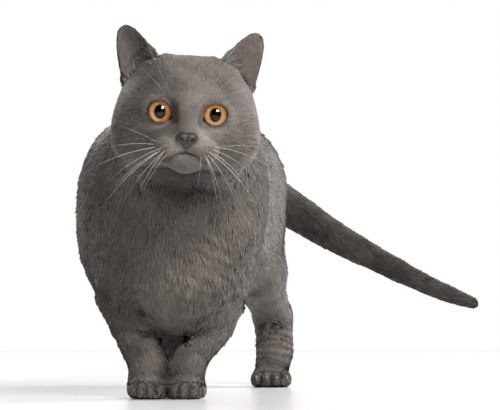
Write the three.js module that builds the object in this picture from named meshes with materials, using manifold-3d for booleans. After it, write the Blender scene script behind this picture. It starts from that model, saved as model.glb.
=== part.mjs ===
// A stocky blue shorthair cat, standing, as a life-size still model.
//
// Millimetres, +Z up. The face looks along -Y and the tail end is towards +Y, so +X is the cat's left.
// The coat's outer surface is described by smooth forms (eggs and tapering limbs that blend into each
// other), turned into facets by a surface-net, and parted into the body's named pieces by thin cuts.
import * as THREE from "three";
import { mergeVertices } from "three/addons/utils/BufferGeometryUtils.js";
import Module from "manifold-3d";

const wasm = await Module();
wasm.setup();

// ---- Driving dimensions -------------------------------------------------------------------------

const GAP = 0.35; // width of the thin cuts between neighbouring pieces
const SOLE_Z = 0; // the floor that all four paws stand on

// The trunk, measured over the coat. Each mass has a centre and three half sizes.
const SHOULDERS = { at: [3, 42, 174], half: [73, 72, 84] };
const BRISKET = { at: [2, 14, 118], half: [50, 44, 56] };
const BELLY = { at: [-8, 142, 162], half: [89, 122, 98], square: 2.5 };
const LOIN = { at: [14, 216, 182], half: [69, 80, 79] };
const RUMP = { at: [34, 274, 191], half: [63, 80, 71] };
const NECK = { from: [8, -44, 220], to: [4, 22, 196], radius: [50, 64] };

// The forelegs lean in from wide elbows to paws that stand side by side.
const FORELEG = {
  shoulder: { left: 36, right: -42, y: 34, z: 158, radius: 30 },
  elbow: { left: 33, right: -47, y: 52, z: 91, radius: 25 },
  forearm: { left: 24.5, right: -36, y: 40, z: 60, radius: 20 },
  wrist: { left: 12, right: -26.5, y: 26, z: 30, radius: 16.4 },
  paw: { left: 7.8, right: -27.2, y: 22, z: 12 },
};
const FOREPAW = { halfWidth: 16.8, halfLength: 19, toeReach: 14, toeOut: -3 };

// The hind legs: haunch, knee, hock, and an upright foot that ends in the paw.
const HINDLEG = {
  haunch: { left: 64, right: 10, y: 274, z: 168, half: [28, 62, 72] },
  knee: { left: 68, right: 6, y: 236, z: 112, radius: 25 },
  hock: { left: 85, right: -8, y: 312, z: 68, radius: 19 },
  foot: { left: 86.5, right: -8, y: 294, z: 32, radius: 17.5 },
  paw: { left: 81.5, right: -4, y: 277, z: 12 },
};
const HINDPAW = { halfWidth: 19.6, halfLength: 20, toeReach: 15, toeOut: 4 };

// The tail leaves the rump, sweeps out to the left and slopes down. Each point has its radius over the coat.
const TAIL = [
  { at: [26, 322, 212], radius: 28 },
  { at: [60, 366, 196], radius: 24 },
  { at: [101, 392, 178.5], radius: 19.5 },
  { at: [143, 402, 152], radius: 16 },
  { at: [199, 408, 122], radius: 12.4 },
  { at: [250, 410, 96.5], radius: 9.4 },
  { at: [290, 410, 81], radius: 6.8 },
];

// The head, in its own frame: origin inside the skull, face along -Y, symmetrical about X = 0.
const HEAD = { at: [9, -80, 232], nod: 4, roll: 3.5, turn: 3 }; // angles in degrees
const CRANIUM = { at: [0, 2, 12], half: [57, 44, 44] };
const FACE = { at: [0, -14, 0], half: [48, 34, 37] };
const CHEEK = { at: [34.5, -4, -12], half: [27.5, 34, 29] };
const NOSE_BRIDGE = { from: [0, -34, 18], to: [0, -59, -9], radius: [17, 11] };
const WHISKER_PAD = { at: [13, -52, -20.5], half: [15.5, 17, 12.5] };
const CHIN = { at: [0, -48, -29], half: [14.5, 14, 10.5] };
const MOUTH = { z: -25, halfWidth: 20, drop: 8, back: -26 };
const NOSE = { wing: { x: 4.6, z: -12.2, radius: 5 }, tip: { z: -17.5, radius: 3.6 }, y: -67.5 };
const NOSTRIL = { x: 5.6, y: -72.6, z: -13.6, half: [2.6, 2.4, 1.2], slant: 28 };
const EYE = { x: 22, y: -37.5, z: 7.5, radius: 11.5 };
const EYE_OPENING = { halfWidth: 9.4, halfHeight: 8.5, slant: 14, outwards: 9 }; // angles in degrees
const EAR = {
  base: [33.5, 3, 33],
  tip: [54.5, 6, 78],
  inner: [20, -4, 49], // where the front edge meets the forehead, which sets the way the ear faces
  outer: [53, 8, 22],
  widthAtRoot: 3.05, // half width over the square root of the distance from the tip
  halfWidthLimit: 18.5,
  cup: { base: 74, tip: 24 }, // degrees that each side curls forwards
  thickness: { base: 5, tip: 2.6 },
};

const CLAW = { length: 7.5, radius: 1.4, curl: 50, z: 10.5, rootDepth: 3.5 };

// ---- Forms: each is a function that gives the distance from a point to a surface, negative inside ----

const radians = THREE.MathUtils.degToRad;

// An egg of three half sizes, turned by Euler angles in degrees. It is an ellipsoid when square is 2, and
// nearer to a rounded box above that.
function egg(at, half, turn = [0, 0, 0], square = 2) {
  const [rx, ry, rz] = turn.map(radians);
  const m = new THREE.Matrix4()
    .makeRotationFromEuler(new THREE.Euler(rx, ry, rz))
    .setPosition(...at)
    .invert().elements;
  const [a, b, c] = half;
  return (x, y, z) => {
    const u = (m[0] * x + m[4] * y + m[8] * z + m[12]) / a;
    const v = (m[1] * x + m[5] * y + m[9] * z + m[13]) / b;
    const w = (m[2] * x + m[6] * y + m[10] * z + m[14]) / c;
    const [pu, pv, pw] = [u, v, w].map((t) => Math.abs(t) ** (square - 1));
    const total = pu * Math.abs(u) + pv * Math.abs(v) + pw * Math.abs(w);
    if (total < 1e-9) return -Math.min(a, b, c);
    const reach = total ** (1 / square);
    return ((reach - 1) * total) / reach / Math.hypot(pu / a, pv / b, pw / c);
  };
}

// A rounded, tapering length between two points.
function limb(from, to, radiusFrom, radiusTo) {
  const along = to.map((t, i) => t - from[i]);
  const squared = along.reduce((sum, d) => sum + d * d, 0);
  return (x, y, z) => {
    const [px, py, pz] = [x - from[0], y - from[1], z - from[2]];
    const t = THREE.MathUtils.clamp((px * along[0] + py * along[1] + pz * along[2]) / squared, 0, 1);
    const off = Math.hypot(px - t * along[0], py - t * along[1], pz - t * along[2]);
    return off - THREE.MathUtils.lerp(radiusFrom, radiusTo, t);
  };
}

// Several forms as one, flowing into each other over about the given width.
function blend(width, ...forms) {
  return (x, y, z) =>
    forms.reduce((d, form) => {
      const e = form(x, y, z);
      const overlap = Math.max(width - Math.abs(d - e), 0) / width;
      return Math.min(d, e) - (overlap * overlap * width) / 4;
    }, 1e6);
}

// A form with another taken out of it, with an edge rounded over the given width.
function carve(width, form, tool) {
  const rest = blend(width, (x, y, z) => -form(x, y, z), tool);
  return (x, y, z) => -rest(x, y, z);
}

const grown = (form, by) => (x, y, z) => form(x, y, z) - by;
const both = (form) => (x, y, z) => form(Math.abs(x), y, z);

// A form built in the frame of a matrix, read from outside that frame.
function placed(form, matrix) {
  const m = matrix.clone().invert().elements;
  return (x, y, z) =>
    form(
      m[0] * x + m[4] * y + m[8] * z + m[12],
      m[1] * x + m[5] * y + m[9] * z + m[13],
      m[2] * x + m[6] * y + m[10] * z + m[14],
    );
}

// ---- From a form to facets ------------------------------------------------------------------------

// A surface net: one vertex in each grid cell that the surface crosses, moved onto the surface, and one
// quad round each grid edge that it crosses. The form is closed off just inside the box.
function netOf(form, box, cell) {
  const [low, high] = box;
  const step = Array.isArray(cell) ? cell : [cell, cell, cell];
  const count = low.map((l, i) => Math.ceil((high[i] - l) / step[i]) + 1);
  const line = (i, n) => low[i] + n * step[i];
  const closed = (x, y, z) =>
    Math.max(
      form(x, y, z),
      low[0] + 0.6 * step[0] - x,
      x - line(0, count[0] - 1) + 0.6 * step[0],
      low[1] + 0.6 * step[1] - y,
      y - line(1, count[1] - 1) + 0.6 * step[1],
      low[2] + 0.6 * step[2] - z,
      z - line(2, count[2] - 1) + 0.6 * step[2],
    );
  const index = (i, j, k) => i + count[0] * (j + count[1] * k);
  const value = new Float64Array(count[0] * count[1] * count[2]);
  for (let k = 0; k < count[2]; k++)
    for (let j = 0; j < count[1]; j++)
      for (let i = 0; i < count[0]; i++)
        value[index(i, j, k)] = closed(line(0, i), line(1, j), line(2, k));

  const corners = [0, 1, 2, 3, 4, 5, 6, 7].map((c) => [c & 1, (c >> 1) & 1, (c >> 2) & 1]);
  const edges = [];
  for (let a = 0; a < 8; a++)
    for (const bit of [1, 2, 4]) if (!(a & bit)) edges.push([a, a | bit]);

  const vertexOf = new Map();
  const places = [];
  for (let k = 0; k < count[2] - 1; k++)
    for (let j = 0; j < count[1] - 1; j++)
      for (let i = 0; i < count[0] - 1; i++) {
        const at = corners.map(([a, b, c]) => value[index(i + a, j + b, k + c)]);
        const inside = at.filter((d) => d < 0).length;
        if (inside === 0 || inside === 8) continue;
        const sum = [0, 0, 0];
        let crossings = 0;
        for (const [a, b] of edges) {
          if (at[a] < 0 === at[b] < 0) continue;
          const t = at[a] / (at[a] - at[b]);
          for (let axis = 0; axis < 3; axis++)
            sum[axis] += THREE.MathUtils.lerp(corners[a][axis], corners[b][axis], t);
          crossings++;
        }
        const place = sum.map((s, axis) => line(axis, [i, j, k][axis] + s / crossings));
        vertexOf.set(index(i, j, k), places.length);
        places.push(ontoSurface(closed, place, Math.min(...step)));
      }

  const triangles = [];
  const strides = [1, count[0], count[0] * count[1]];
  for (let k = 0; k < count[2] - 1; k++)
    for (let j = 0; j < count[1] - 1; j++)
      for (let i = 0; i < count[0] - 1; i++)
        for (let axis = 0; axis < 3; axis++) {
          const here = index(i, j, k);
          const there = here + strides[axis];
          if (value[here] < 0 === value[there] < 0) continue;
          const [su, sv] = [strides[(axis + 1) % 3], strides[(axis + 2) % 3]];
          const quad = [here - su - sv, here - sv, here, here - su].map((n) => vertexOf.get(n));
          if (value[here] >= 0) quad.reverse();
          triangles.push(...splitQuad(quad, places));
        }
  const geometry = new THREE.BufferGeometry();
  geometry.setAttribute("position", new THREE.Float32BufferAttribute(places.flat(), 3));
  geometry.setIndex(triangles);
  return geometry;
}

// Moves a point along the form's slope until it lies on the surface, by at most half a cell.
function ontoSurface(form, place, cell) {
  const h = 0.05;
  let [x, y, z] = place;
  for (let pass = 0; pass < 3; pass++) {
    const d = form(x, y, z);
    const slope = [
      (form(x + h, y, z) - d) / h,
      (form(x, y + h, z) - d) / h,
      (form(x, y, z + h) - d) / h,
    ];
    const squared = slope.reduce((s, g) => s + g * g, 1e-6);
    const move = THREE.MathUtils.clamp(-d / squared, -cell / 3, cell / 3);
    x += move * slope[0];
    y += move * slope[1];
    z += move * slope[2];
  }
  const limit = cell / 2;
  return [x, y, z].map((v, i) => THREE.MathUtils.clamp(v, place[i] - limit, place[i] + limit));
}

// Two triangles, parted along the quad's shorter diagonal.
function splitQuad([a, b, c, d], places) {
  const apart = (p, q) => Math.hypot(...places[p].map((v, i) => v - places[q][i]));
  return apart(a, c) <= apart(b, d) ? [a, b, c, a, c, d] : [a, b, d, b, c, d];
}

// ---- Solids: manifold-3d joins and cuts them -------------------------------------------------------

function solidOf(geometry) {
  const bare = geometry.clone();
  bare.deleteAttribute("normal");
  bare.deleteAttribute("uv");
  const merged = mergeVertices(bare, 1e-4);
  const solid = new wasm.Manifold(
    new wasm.Mesh({
      numProp: 3,
      vertProperties: merged.attributes.position.array,
      triVerts: new Uint32Array(merged.index.array),
    }),
  );
  return largest(solid);
}

// The biggest body of a solid, without crumbs that a cut leaves.
function largest(solid) {
  return solid.decompose().reduce((a, b) => (b.volume() > a.volume() ? b : a));
}

function geometryOf(solid) {
  const mesh = solid.getMesh();
  const geometry = new THREE.BufferGeometry();
  geometry.setAttribute("position", new THREE.BufferAttribute(mesh.vertProperties, 3));
  geometry.setIndex(new THREE.BufferAttribute(mesh.triVerts, 1));
  geometry.computeVertexNormals();
  return geometry;
}

// Keeps the side of a cut that its direction points to, half a gap away from it.
function keep(solid, cut) {
  const normal = new THREE.Vector3(...cut.towards).normalize();
  const offset = normal.dot(new THREE.Vector3(...cut.through)) + GAP / 2;
  return solid.trimByPlane(normal.toArray(), offset);
}

const otherSide = (cut) => ({ through: cut.through, towards: cut.towards.map((v) => -v) });
// ---- The cat's forms --------------------------------------------------------------------------------

const mass = ({ at, half, square }) => egg(at, half, [0, 0, 0], square);
const bridge = ({ from, to, radius }) => limb(from, to, ...radius);
const ball = (at, radius) => egg(at, [radius, radius, radius]);

const torsoForm = blend(
  30,
  mass(BELLY),
  mass(SHOULDERS),
  mass(BRISKET),
  mass(LOIN),
  mass(RUMP),
  bridge(NECK),
);

// A paw with four toes, in its own frame: the sole at z = 0 and the toes along -Y.
function pawForm({ halfWidth, halfLength, toeReach }) {
  const toeHalf = halfWidth * 0.31;
  const toes = [-1.5, -0.5, 0.5, 1.5].map((place) => {
    const x = place * halfWidth * 0.5;
    const y = -toeReach + Math.abs(place) * 2.6;
    return egg([x, y, 7.4], [toeHalf, toeHalf * 1.8, 8.6], [0, 0, -4 * place]);
  });
  return blend(2.4, egg([0, 0, 8], [halfWidth * 0.95, halfLength, 12]), ...toes);
}

// Where a joint of a leg is, and how its paw is turned, for the cat's left or right side.
const jointOf = (side) => (joint) => [joint[side], joint.y, joint.z];
const pawPlace = (leg, paw, side) =>
  new THREE.Matrix4()
    .makeRotationZ(radians(side === "left" ? paw.toeOut : -paw.toeOut))
    .setPosition(leg.paw[side], leg.paw.y, 0);

function forelegForm(side) {
  const at = jointOf(side);
  const { shoulder, elbow, forearm, wrist, paw } = FORELEG;
  const arm = blend(
    14,
    limb(at(shoulder), at(elbow), shoulder.radius, elbow.radius),
    limb(at(elbow), at(forearm), elbow.radius, forearm.radius),
    limb(at(forearm), at(wrist), forearm.radius, wrist.radius),
  );
  const ankle = limb(at(wrist), at(paw), wrist.radius, 14);
  return blend(9, arm, ankle, placed(pawForm(FOREPAW), pawPlace(FORELEG, FOREPAW, side)));
}

function hindlegForm(side) {
  const at = jointOf(side);
  const { haunch, knee, hock, foot, paw } = HINDLEG;
  const thigh = blend(
    20,
    egg(at(haunch), haunch.half, [-12, 0, 0]),
    limb(at({ ...haunch, z: haunch.z - 20 }), at(knee), 27, knee.radius),
    limb(at(knee), at(hock), knee.radius, hock.radius),
  );
  const upright = blend(8, limb(at(hock), at(foot), hock.radius, foot.radius), limb(at(foot), at(paw), foot.radius, 13));
  return blend(9, thigh, upright, placed(pawForm(HINDPAW), pawPlace(HINDLEG, HINDPAW, side)));
}

// Tapering lengths along a smooth curve through the tail's points.
const tailCurve = new THREE.CatmullRomCurve3(TAIL.map(({ at }) => new THREE.Vector3(...at)));

function tailForm() {
  const steps = 24;
  const spans = TAIL.length - 1;
  const radiusAt = (t) => {
    const i = Math.min(Math.floor(t * spans), spans - 1);
    return THREE.MathUtils.lerp(TAIL[i].radius, TAIL[i + 1].radius, t * spans - i);
  };
  const lengths = Array.from({ length: steps }, (_, i) => {
    const [a, b] = [i / steps, (i + 1) / steps];
    return limb(tailCurve.getPoint(a).toArray(), tailCurve.getPoint(b).toArray(), radiusAt(a), radiusAt(b));
  });
  return blend(3, ...lengths);
}

// The head without its eyes, ears and nose leather.
const eyeAt = [EYE.x, EYE.y, EYE.z];
const headForm = blend(
  12,
  blend(14, mass(CRANIUM), mass(FACE), both(mass(CHEEK))),
  blend(7, bridge(NOSE_BRIDGE), both(mass(WHISKER_PAD)), mass(CHIN)),
);

const noseForm = carve(
  1,
  blend(
    5,
    both(ball([NOSE.wing.x, NOSE.y, NOSE.wing.z], NOSE.wing.radius)),
    ball([0, NOSE.y + 1.5, NOSE.tip.z], NOSE.tip.radius),
  ),
  both(egg([NOSTRIL.x, NOSTRIL.y, NOSTRIL.z], NOSTRIL.half, [0, NOSTRIL.slant, 0])),
);

// ---- Closed lofts and prisms ---------------------------------------------------------------------------

// Joins rings of equal, even length, and closes both ends with strips across the ring.
function loft(rings) {
  const n = rings[0].length;
  const triangles = [];
  const quad = (a, b, c, d) => triangles.push(a, b, c, a, c, d);
  for (let r = 0; r < rings.length - 1; r++)
    for (let i = 0; i < n; i++) {
      const j = (i + 1) % n;
      quad(r * n + i, r * n + j, (r + 1) * n + j, (r + 1) * n + i);
    }
  const last = (rings.length - 1) * n;
  for (let i = 0; i < n / 2 - 1; i++) {
    quad(i, n - 1 - i, n - 2 - i, i + 1);
    quad(last + i, last + i + 1, last + n - 2 - i, last + n - 1 - i);
  }
  const geometry = new THREE.BufferGeometry();
  geometry.setAttribute("position", new THREE.Float32BufferAttribute(rings.flat(2), 3));
  geometry.setIndex(triangles);
  return geometry;
}

// The tail as rings round its curve, each point where a ray from the curve meets the form's surface.
function tailSleeve(form) {
  const [stations, around, reach] = [15, 14, 60];
  const ringAt = (centre, along) => {
    const side = new THREE.Vector3(0, 0, 1).cross(along).normalize();
    const up = along.clone().cross(side);
    return Array.from({ length: around }, (_, i) => {
      const angle = ((i + 0.5) / around) * 2 * Math.PI;
      const ray = side.clone().multiplyScalar(Math.cos(angle)).addScaledVector(up, Math.sin(angle));
      let [inside, outside] = [0, reach];
      for (let pass = 0; pass < 22; pass++) {
        const half = (inside + outside) / 2;
        const at = centre.clone().addScaledVector(ray, half);
        if (form(at.x, at.y, at.z) < 0) inside = half;
        else outside = half;
      }
      return centre.clone().addScaledVector(ray, inside).toArray();
    });
  };
  const rings = [];
  for (let i = 0; i <= stations; i++)
    rings.push(ringAt(tailCurve.getPointAt(i / stations), tailCurve.getTangentAt(i / stations)));
  const [end, along] = [tailCurve.getPoint(1), tailCurve.getTangent(1)];
  for (const part of [0.5, 0.85, 0.98])
    rings.push(ringAt(end.clone().addScaledVector(along, part * TAIL.at(-1).radius), along));
  return loft(rings);
}

// The left ear: a curled leaf whose half width goes with the square root of the distance from its tip.
function earLeaf() {
  const [base, tip, inner, outer] = [EAR.base, EAR.tip, EAR.inner, EAR.outer].map((p) => new THREE.Vector3(...p));
  const up = tip.clone().sub(base);
  const height = up.length();
  up.normalize();
  const across = outer.clone().sub(inner);
  across.addScaledVector(up, -across.dot(up)).normalize();
  const front = across.clone().cross(up);
  const [rows, columns] = [7, 6];
  const rings = [];
  for (let r = 0; r <= rows; r++) {
    const v = 1 - (1 - r / rows) ** 1.6 * 1.28; // closer rows towards the tip, and a root inside the head
    const toTip = Math.max((1 - v) * height, 0.35);
    const width = Math.min(EAR.widthAtRoot * Math.sqrt(toTip), EAR.halfWidthLimit);
    const curl = radians(THREE.MathUtils.lerp(EAR.cup.base, EAR.cup.tip, THREE.MathUtils.clamp(v, 0, 1)));
    const thickness = THREE.MathUtils.lerp(EAR.thickness.base, EAR.thickness.tip, THREE.MathUtils.clamp(v, 0, 1));
    const side = (out) =>
      Array.from({ length: columns + 1 }, (_, c) => {
        const u = (c / columns) * 2 - 1;
        const forwards = (width * (1 - Math.cos(curl * u))) / Math.sin(curl) - (width * Math.tan(curl / 2)) / 2;
        const thin = (out * thickness * (1 - 0.6 * u * u)) / 2;
        return base
          .clone()
          .addScaledVector(up, v * height)
          .addScaledVector(across, (width * Math.sin(curl * u)) / Math.sin(curl) + thin * Math.sin(curl * u))
          .addScaledVector(front, forwards - thin * Math.cos(curl * u))
          .toArray();
      });
    rings.push([...side(-1), ...side(1).reverse()]);
  }
  return loft(rings);
}

// A claw: a cone bent down from its root at the origin, along -Y, or the room that it needs.
function clawHorn(room) {
  const [rows, sides] = [3, 6];
  const bend = radians(CLAW.curl);
  const arm = CLAW.length / bend;
  const rings = [];
  for (let r = 0; r <= rows; r++) {
    const angle = (r / rows) * bend;
    const radius = CLAW.radius * (1 - 0.88 * (r / rows) ** 1.4) + room;
    const centre = [0, -arm * Math.sin(angle) + (r === 0 ? room : 0), arm * (Math.cos(angle) - 1)];
    rings.push(
      Array.from({ length: sides }, (_, s) => {
        const turn = ((s + 0.5) / sides) * 2 * Math.PI;
        const out = radius * Math.sin(turn);
        return [
          centre[0] + radius * 0.8 * Math.cos(turn),
          centre[1] - out * Math.sin(angle),
          centre[2] + out * Math.cos(angle),
        ];
      }),
    );
  }
  return loft(rings);
}

// A prism along Y with an outline in the X-Z plane, between two depths.
function prism(shape, front, back) {
  const geometry = new THREE.ExtrudeGeometry(shape, { depth: back - front, bevelEnabled: false, curveSegments: 7 });
  geometry.rotateX(Math.PI / 2).translate(0, back, 0);
  return geometry;
}

// The outline of the lower jaw's front: an arch under the mouth line, open downwards.
function mouthArch(grow) {
  const half = MOUTH.halfWidth + grow;
  const shape = new THREE.Shape();
  shape.moveTo(-half, -90);
  shape.lineTo(-half, MOUTH.z - MOUTH.drop + grow);
  shape.quadraticCurveTo(-half * 0.55, MOUTH.z + grow, 0, MOUTH.z + grow);
  shape.quadraticCurveTo(half * 0.55, MOUTH.z + grow, half, MOUTH.z - MOUTH.drop + grow);
  shape.lineTo(half, -90);
  return shape;
}

// The opening between the lids of the left eye, as a prism along the gaze.
function eyeSlit() {
  const shape = new THREE.Shape();
  shape.absellipse(0, 0, EYE_OPENING.halfWidth, EYE_OPENING.halfHeight, 0, 2 * Math.PI);
  const geometry = prism(shape, -30, 0);
  geometry.rotateY(radians(-EYE_OPENING.slant)).rotateZ(radians(EYE_OPENING.outwards));
  return geometry.translate(...eyeAt);
}

const FLIP = new THREE.Matrix4().makeScale(-1, 1, 1);
const flipped = (solid) => solid.transform(FLIP.elements);

// ---- Whole forms ---------------------------------------------------------------------------------------

const headGroup = new THREE.Group();
headGroup.position.set(...HEAD.at);
headGroup.rotation.set(radians(HEAD.nod), radians(HEAD.roll), radians(HEAD.turn));
headGroup.updateMatrix();
const fromHead = headGroup.matrix;
const toHead = fromHead.clone().invert();

const forelegs = { left: forelegForm("left"), right: forelegForm("right") };
const hindlegs = { left: hindlegForm("left"), right: hindlegForm("right") };
const tail = tailForm();
const withLegs = blend(16, torsoForm, forelegs.left, forelegs.right, hindlegs.left, hindlegs.right, tail);
const trunkWithHead = blend(22, withLegs, placed(headForm, fromHead));
const headWithNeck = blend(22, headForm, placed(torsoForm, toHead));

// ---- Cuts between the pieces ----------------------------------------------------------------------------

const STOP = { through: [0, -45.5, 0], towards: [0, -1, -0.12] }; // in the head's frame: keeps the muzzle
const NAPE = { through: [0, 26, 0], towards: [0, -1, 0.5] }; // in the head's frame: keeps the head
const COLLAR = { through: [4, -16, 200], towards: [0, -1, 0.35] }; // keeps the neck
const RIBS_END = { through: [0, 108, 0], towards: [0, -1, 0] }; // keeps the chest
const LOIN_START = { through: [0, 205, 0], towards: [0, 1, 0] }; // keeps the rump
const TAIL_HEAD = { through: [40, 340, 206], towards: [0.62, 0.75, -0.22] }; // keeps the tail
const TAIL_THIRDS = [
  { through: TAIL[3].at, towards: [0.86, 0.2, -0.48] },
  { through: TAIL[4].at, towards: [0.88, 0.05, -0.46] },
];
const WRIST = { through: [0, 0, 27], towards: [0, 0, 1] }; // keeps the leg above the paw
const KNEE = { through: [0, 252, 112], towards: [0, -0.2, -1] }; // keeps the shank
const HOCK = { through: [0, 0, 64], towards: [0, 0, 1] }; // keeps the shank
const ANKLE = { through: [0, 288, 22], towards: [0, -1, -0.7] }; // keeps the hind paw
const BETWEEN_PAWS = {
  left: { through: [-9.7, 0, 0], towards: [1, 0, 0] },
  right: { through: [-9.7, 0, 0], towards: [-1, 0, 0] },
};
const FLOOR = { through: [0, 0, SOLE_Z - GAP / 2], towards: [0, 0, 1] };

// The wedge that a leg fills: under a slope from the crotch out to the flank, between two depths.
const FORE_WEDGE = {
  left: { crotch: [-9, 40], flank: [84, 98] },
  right: { crotch: [-10.4, 44], flank: [-84, 100] },
  front: -60,
  back: 82,
};
const HIND_WEDGE = {
  left: { crotch: [42, 70], flank: [104, 176] },
  right: { crotch: [33, 70], flank: [-28, 176] },
  front: 205,
  back: 420,
};

function legWedge(wedge, side, room) {
  const [[x, z], [flankX, flankZ]] = [wedge[side].crotch, wedge[side].flank];
  const out = Math.sign(flankX - x);
  const [run, rise] = [flankX - x, flankZ - z];
  const lift = room * Math.hypot(1, rise / run);
  const edge = (at) => z + lift + (rise / run) * (at - x);
  const [inner, outer] = [x - out * room, x + out * 200];
  const shape = new THREE.Shape();
  shape.moveTo(inner, -20);
  shape.lineTo(inner, edge(inner));
  shape.lineTo(flankX, edge(flankX));
  shape.lineTo(outer, edge(flankX));
  shape.lineTo(outer, -20);
  return solidOf(prism(shape, wedge.front + GAP / 2 - room, wedge.back + room));
}

// ---- Pieces ---------------------------------------------------------------------------------------------

const BLUE_COAT = new THREE.MeshStandardMaterial({ color: 0x6b6764, roughness: 0.9 });
const TAIL_COAT = new THREE.MeshStandardMaterial({ color: 0x46423d, roughness: 0.9 });
const NOSE_LEATHER = new THREE.MeshStandardMaterial({ color: 0x35302f, roughness: 0.5 });
const COPPER_EYE = new THREE.MeshStandardMaterial({ color: 0xd69a52, roughness: 0.08 });
const CLAW_HORN = new THREE.MeshStandardMaterial({ color: 0xd8d2c8, roughness: 0.35 });

const cat = new THREE.Group();
cat.add(headGroup);

function piece(name, solid, material, parent = cat) {
  const mesh = new THREE.Mesh(geometryOf(largest(solid)), material);
  mesh.name = name;
  parent.add(mesh);
}

// The head, with sockets for the eyes, a mouth line, and room for the nose leather.
const eyeball = (room) =>
  solidOf(new THREE.SphereGeometry(EYE.radius + room, 13, 8).rotateX(Math.PI / 2).translate(...eyeAt));
const pair = (solid) => solid.add(flipped(solid));
const headBox = [[-66, -74, -62], [66, 46, 62]];
const sockets = pair(eyeball(GAP)).add(pair(solidOf(eyeSlit())));
const headNet = netOf(headWithNeck, headBox, [11.5, 12, 11.5]);
const head = solidOf(headNet);
piece("head", keep(keep(head.subtract(sockets), NAPE), otherSide(STOP)), BLUE_COAT, headGroup);
piece("eye_left", eyeball(0), COPPER_EYE, headGroup);
piece("eye_right", flipped(eyeball(0)), COPPER_EYE, headGroup);

const noseBox = [[-13, -76, -24], [13, -58, -4]];
const nose = solidOf(netOf(noseForm, noseBox, 2.9));
const noseRoom = solidOf(netOf(grown(noseForm, 2 * GAP), noseBox, 2.9));
const jawPrism = (room) => solidOf(prism(mouthArch(room), -90, MOUTH.back + room));
const finerFront = keep(solidOf(netOf(headWithNeck, [[-44, -74, -48], [44, -22, 22]], 6.6)), STOP);
const muzzle = finerFront.subtract(noseRoom).subtract(sockets);
piece("muzzle", muzzle.subtract(jawPrism(GAP)), BLUE_COAT, headGroup);
piece("jaw", muzzle.intersect(jawPrism(0)), BLUE_COAT, headGroup);
piece("nose", nose, NOSE_LEATHER, headGroup);

const earSpread = 1 + GAP / CRANIUM.half[2]; // the head, grown by a gap, is what the ears stand on
const earRoom = solidOf(headNet.clone().scale(earSpread, earSpread, earSpread));
const ear = solidOf(earLeaf());
piece("ear_left", ear.subtract(earRoom), BLUE_COAT, headGroup);
piece("ear_right", flipped(ear).subtract(earRoom), BLUE_COAT, headGroup);

// The neck and trunk, with the legs' wedges taken out.
const trunk = solidOf(netOf(trunkWithHead, [[-124, -110, 24], [136, 380, 292]], [24, 28, 22]));
const napeInWorld = {
  through: new THREE.Vector3(...NAPE.through).applyMatrix4(fromHead).toArray(),
  towards: new THREE.Vector3(...NAPE.towards).transformDirection(fromHead).toArray(),
};
const wedges = [FORE_WEDGE, HIND_WEDGE].flatMap((w) => [legWedge(w, "left", GAP), legWedge(w, "right", GAP)]);
const bareTrunk = wedges.reduce((rest, wedge) => rest.subtract(wedge), keep(trunk, otherSide(TAIL_HEAD)));
const body = keep(bareTrunk, otherSide(COLLAR));
piece("neck", keep(keep(trunk, COLLAR), otherSide(napeInWorld)), BLUE_COAT);
piece("chest", keep(body, RIBS_END), BLUE_COAT);
piece("belly", keep(keep(body, otherSide(RIBS_END)), otherSide(LOIN_START)), BLUE_COAT);
piece("rump", keep(body, LOIN_START), BLUE_COAT);

const tailSolid = keep(solidOf(tailSleeve(blend(16, tail, torsoForm))), TAIL_HEAD);
piece("tail_root", keep(tailSolid, otherSide(TAIL_THIRDS[0])), TAIL_COAT);
piece("tail_middle", keep(keep(tailSolid, TAIL_THIRDS[0]), otherSide(TAIL_THIRDS[1])), TAIL_COAT);
piece("tail_tip", keep(tailSolid, TAIL_THIRDS[1]), TAIL_COAT);

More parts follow.
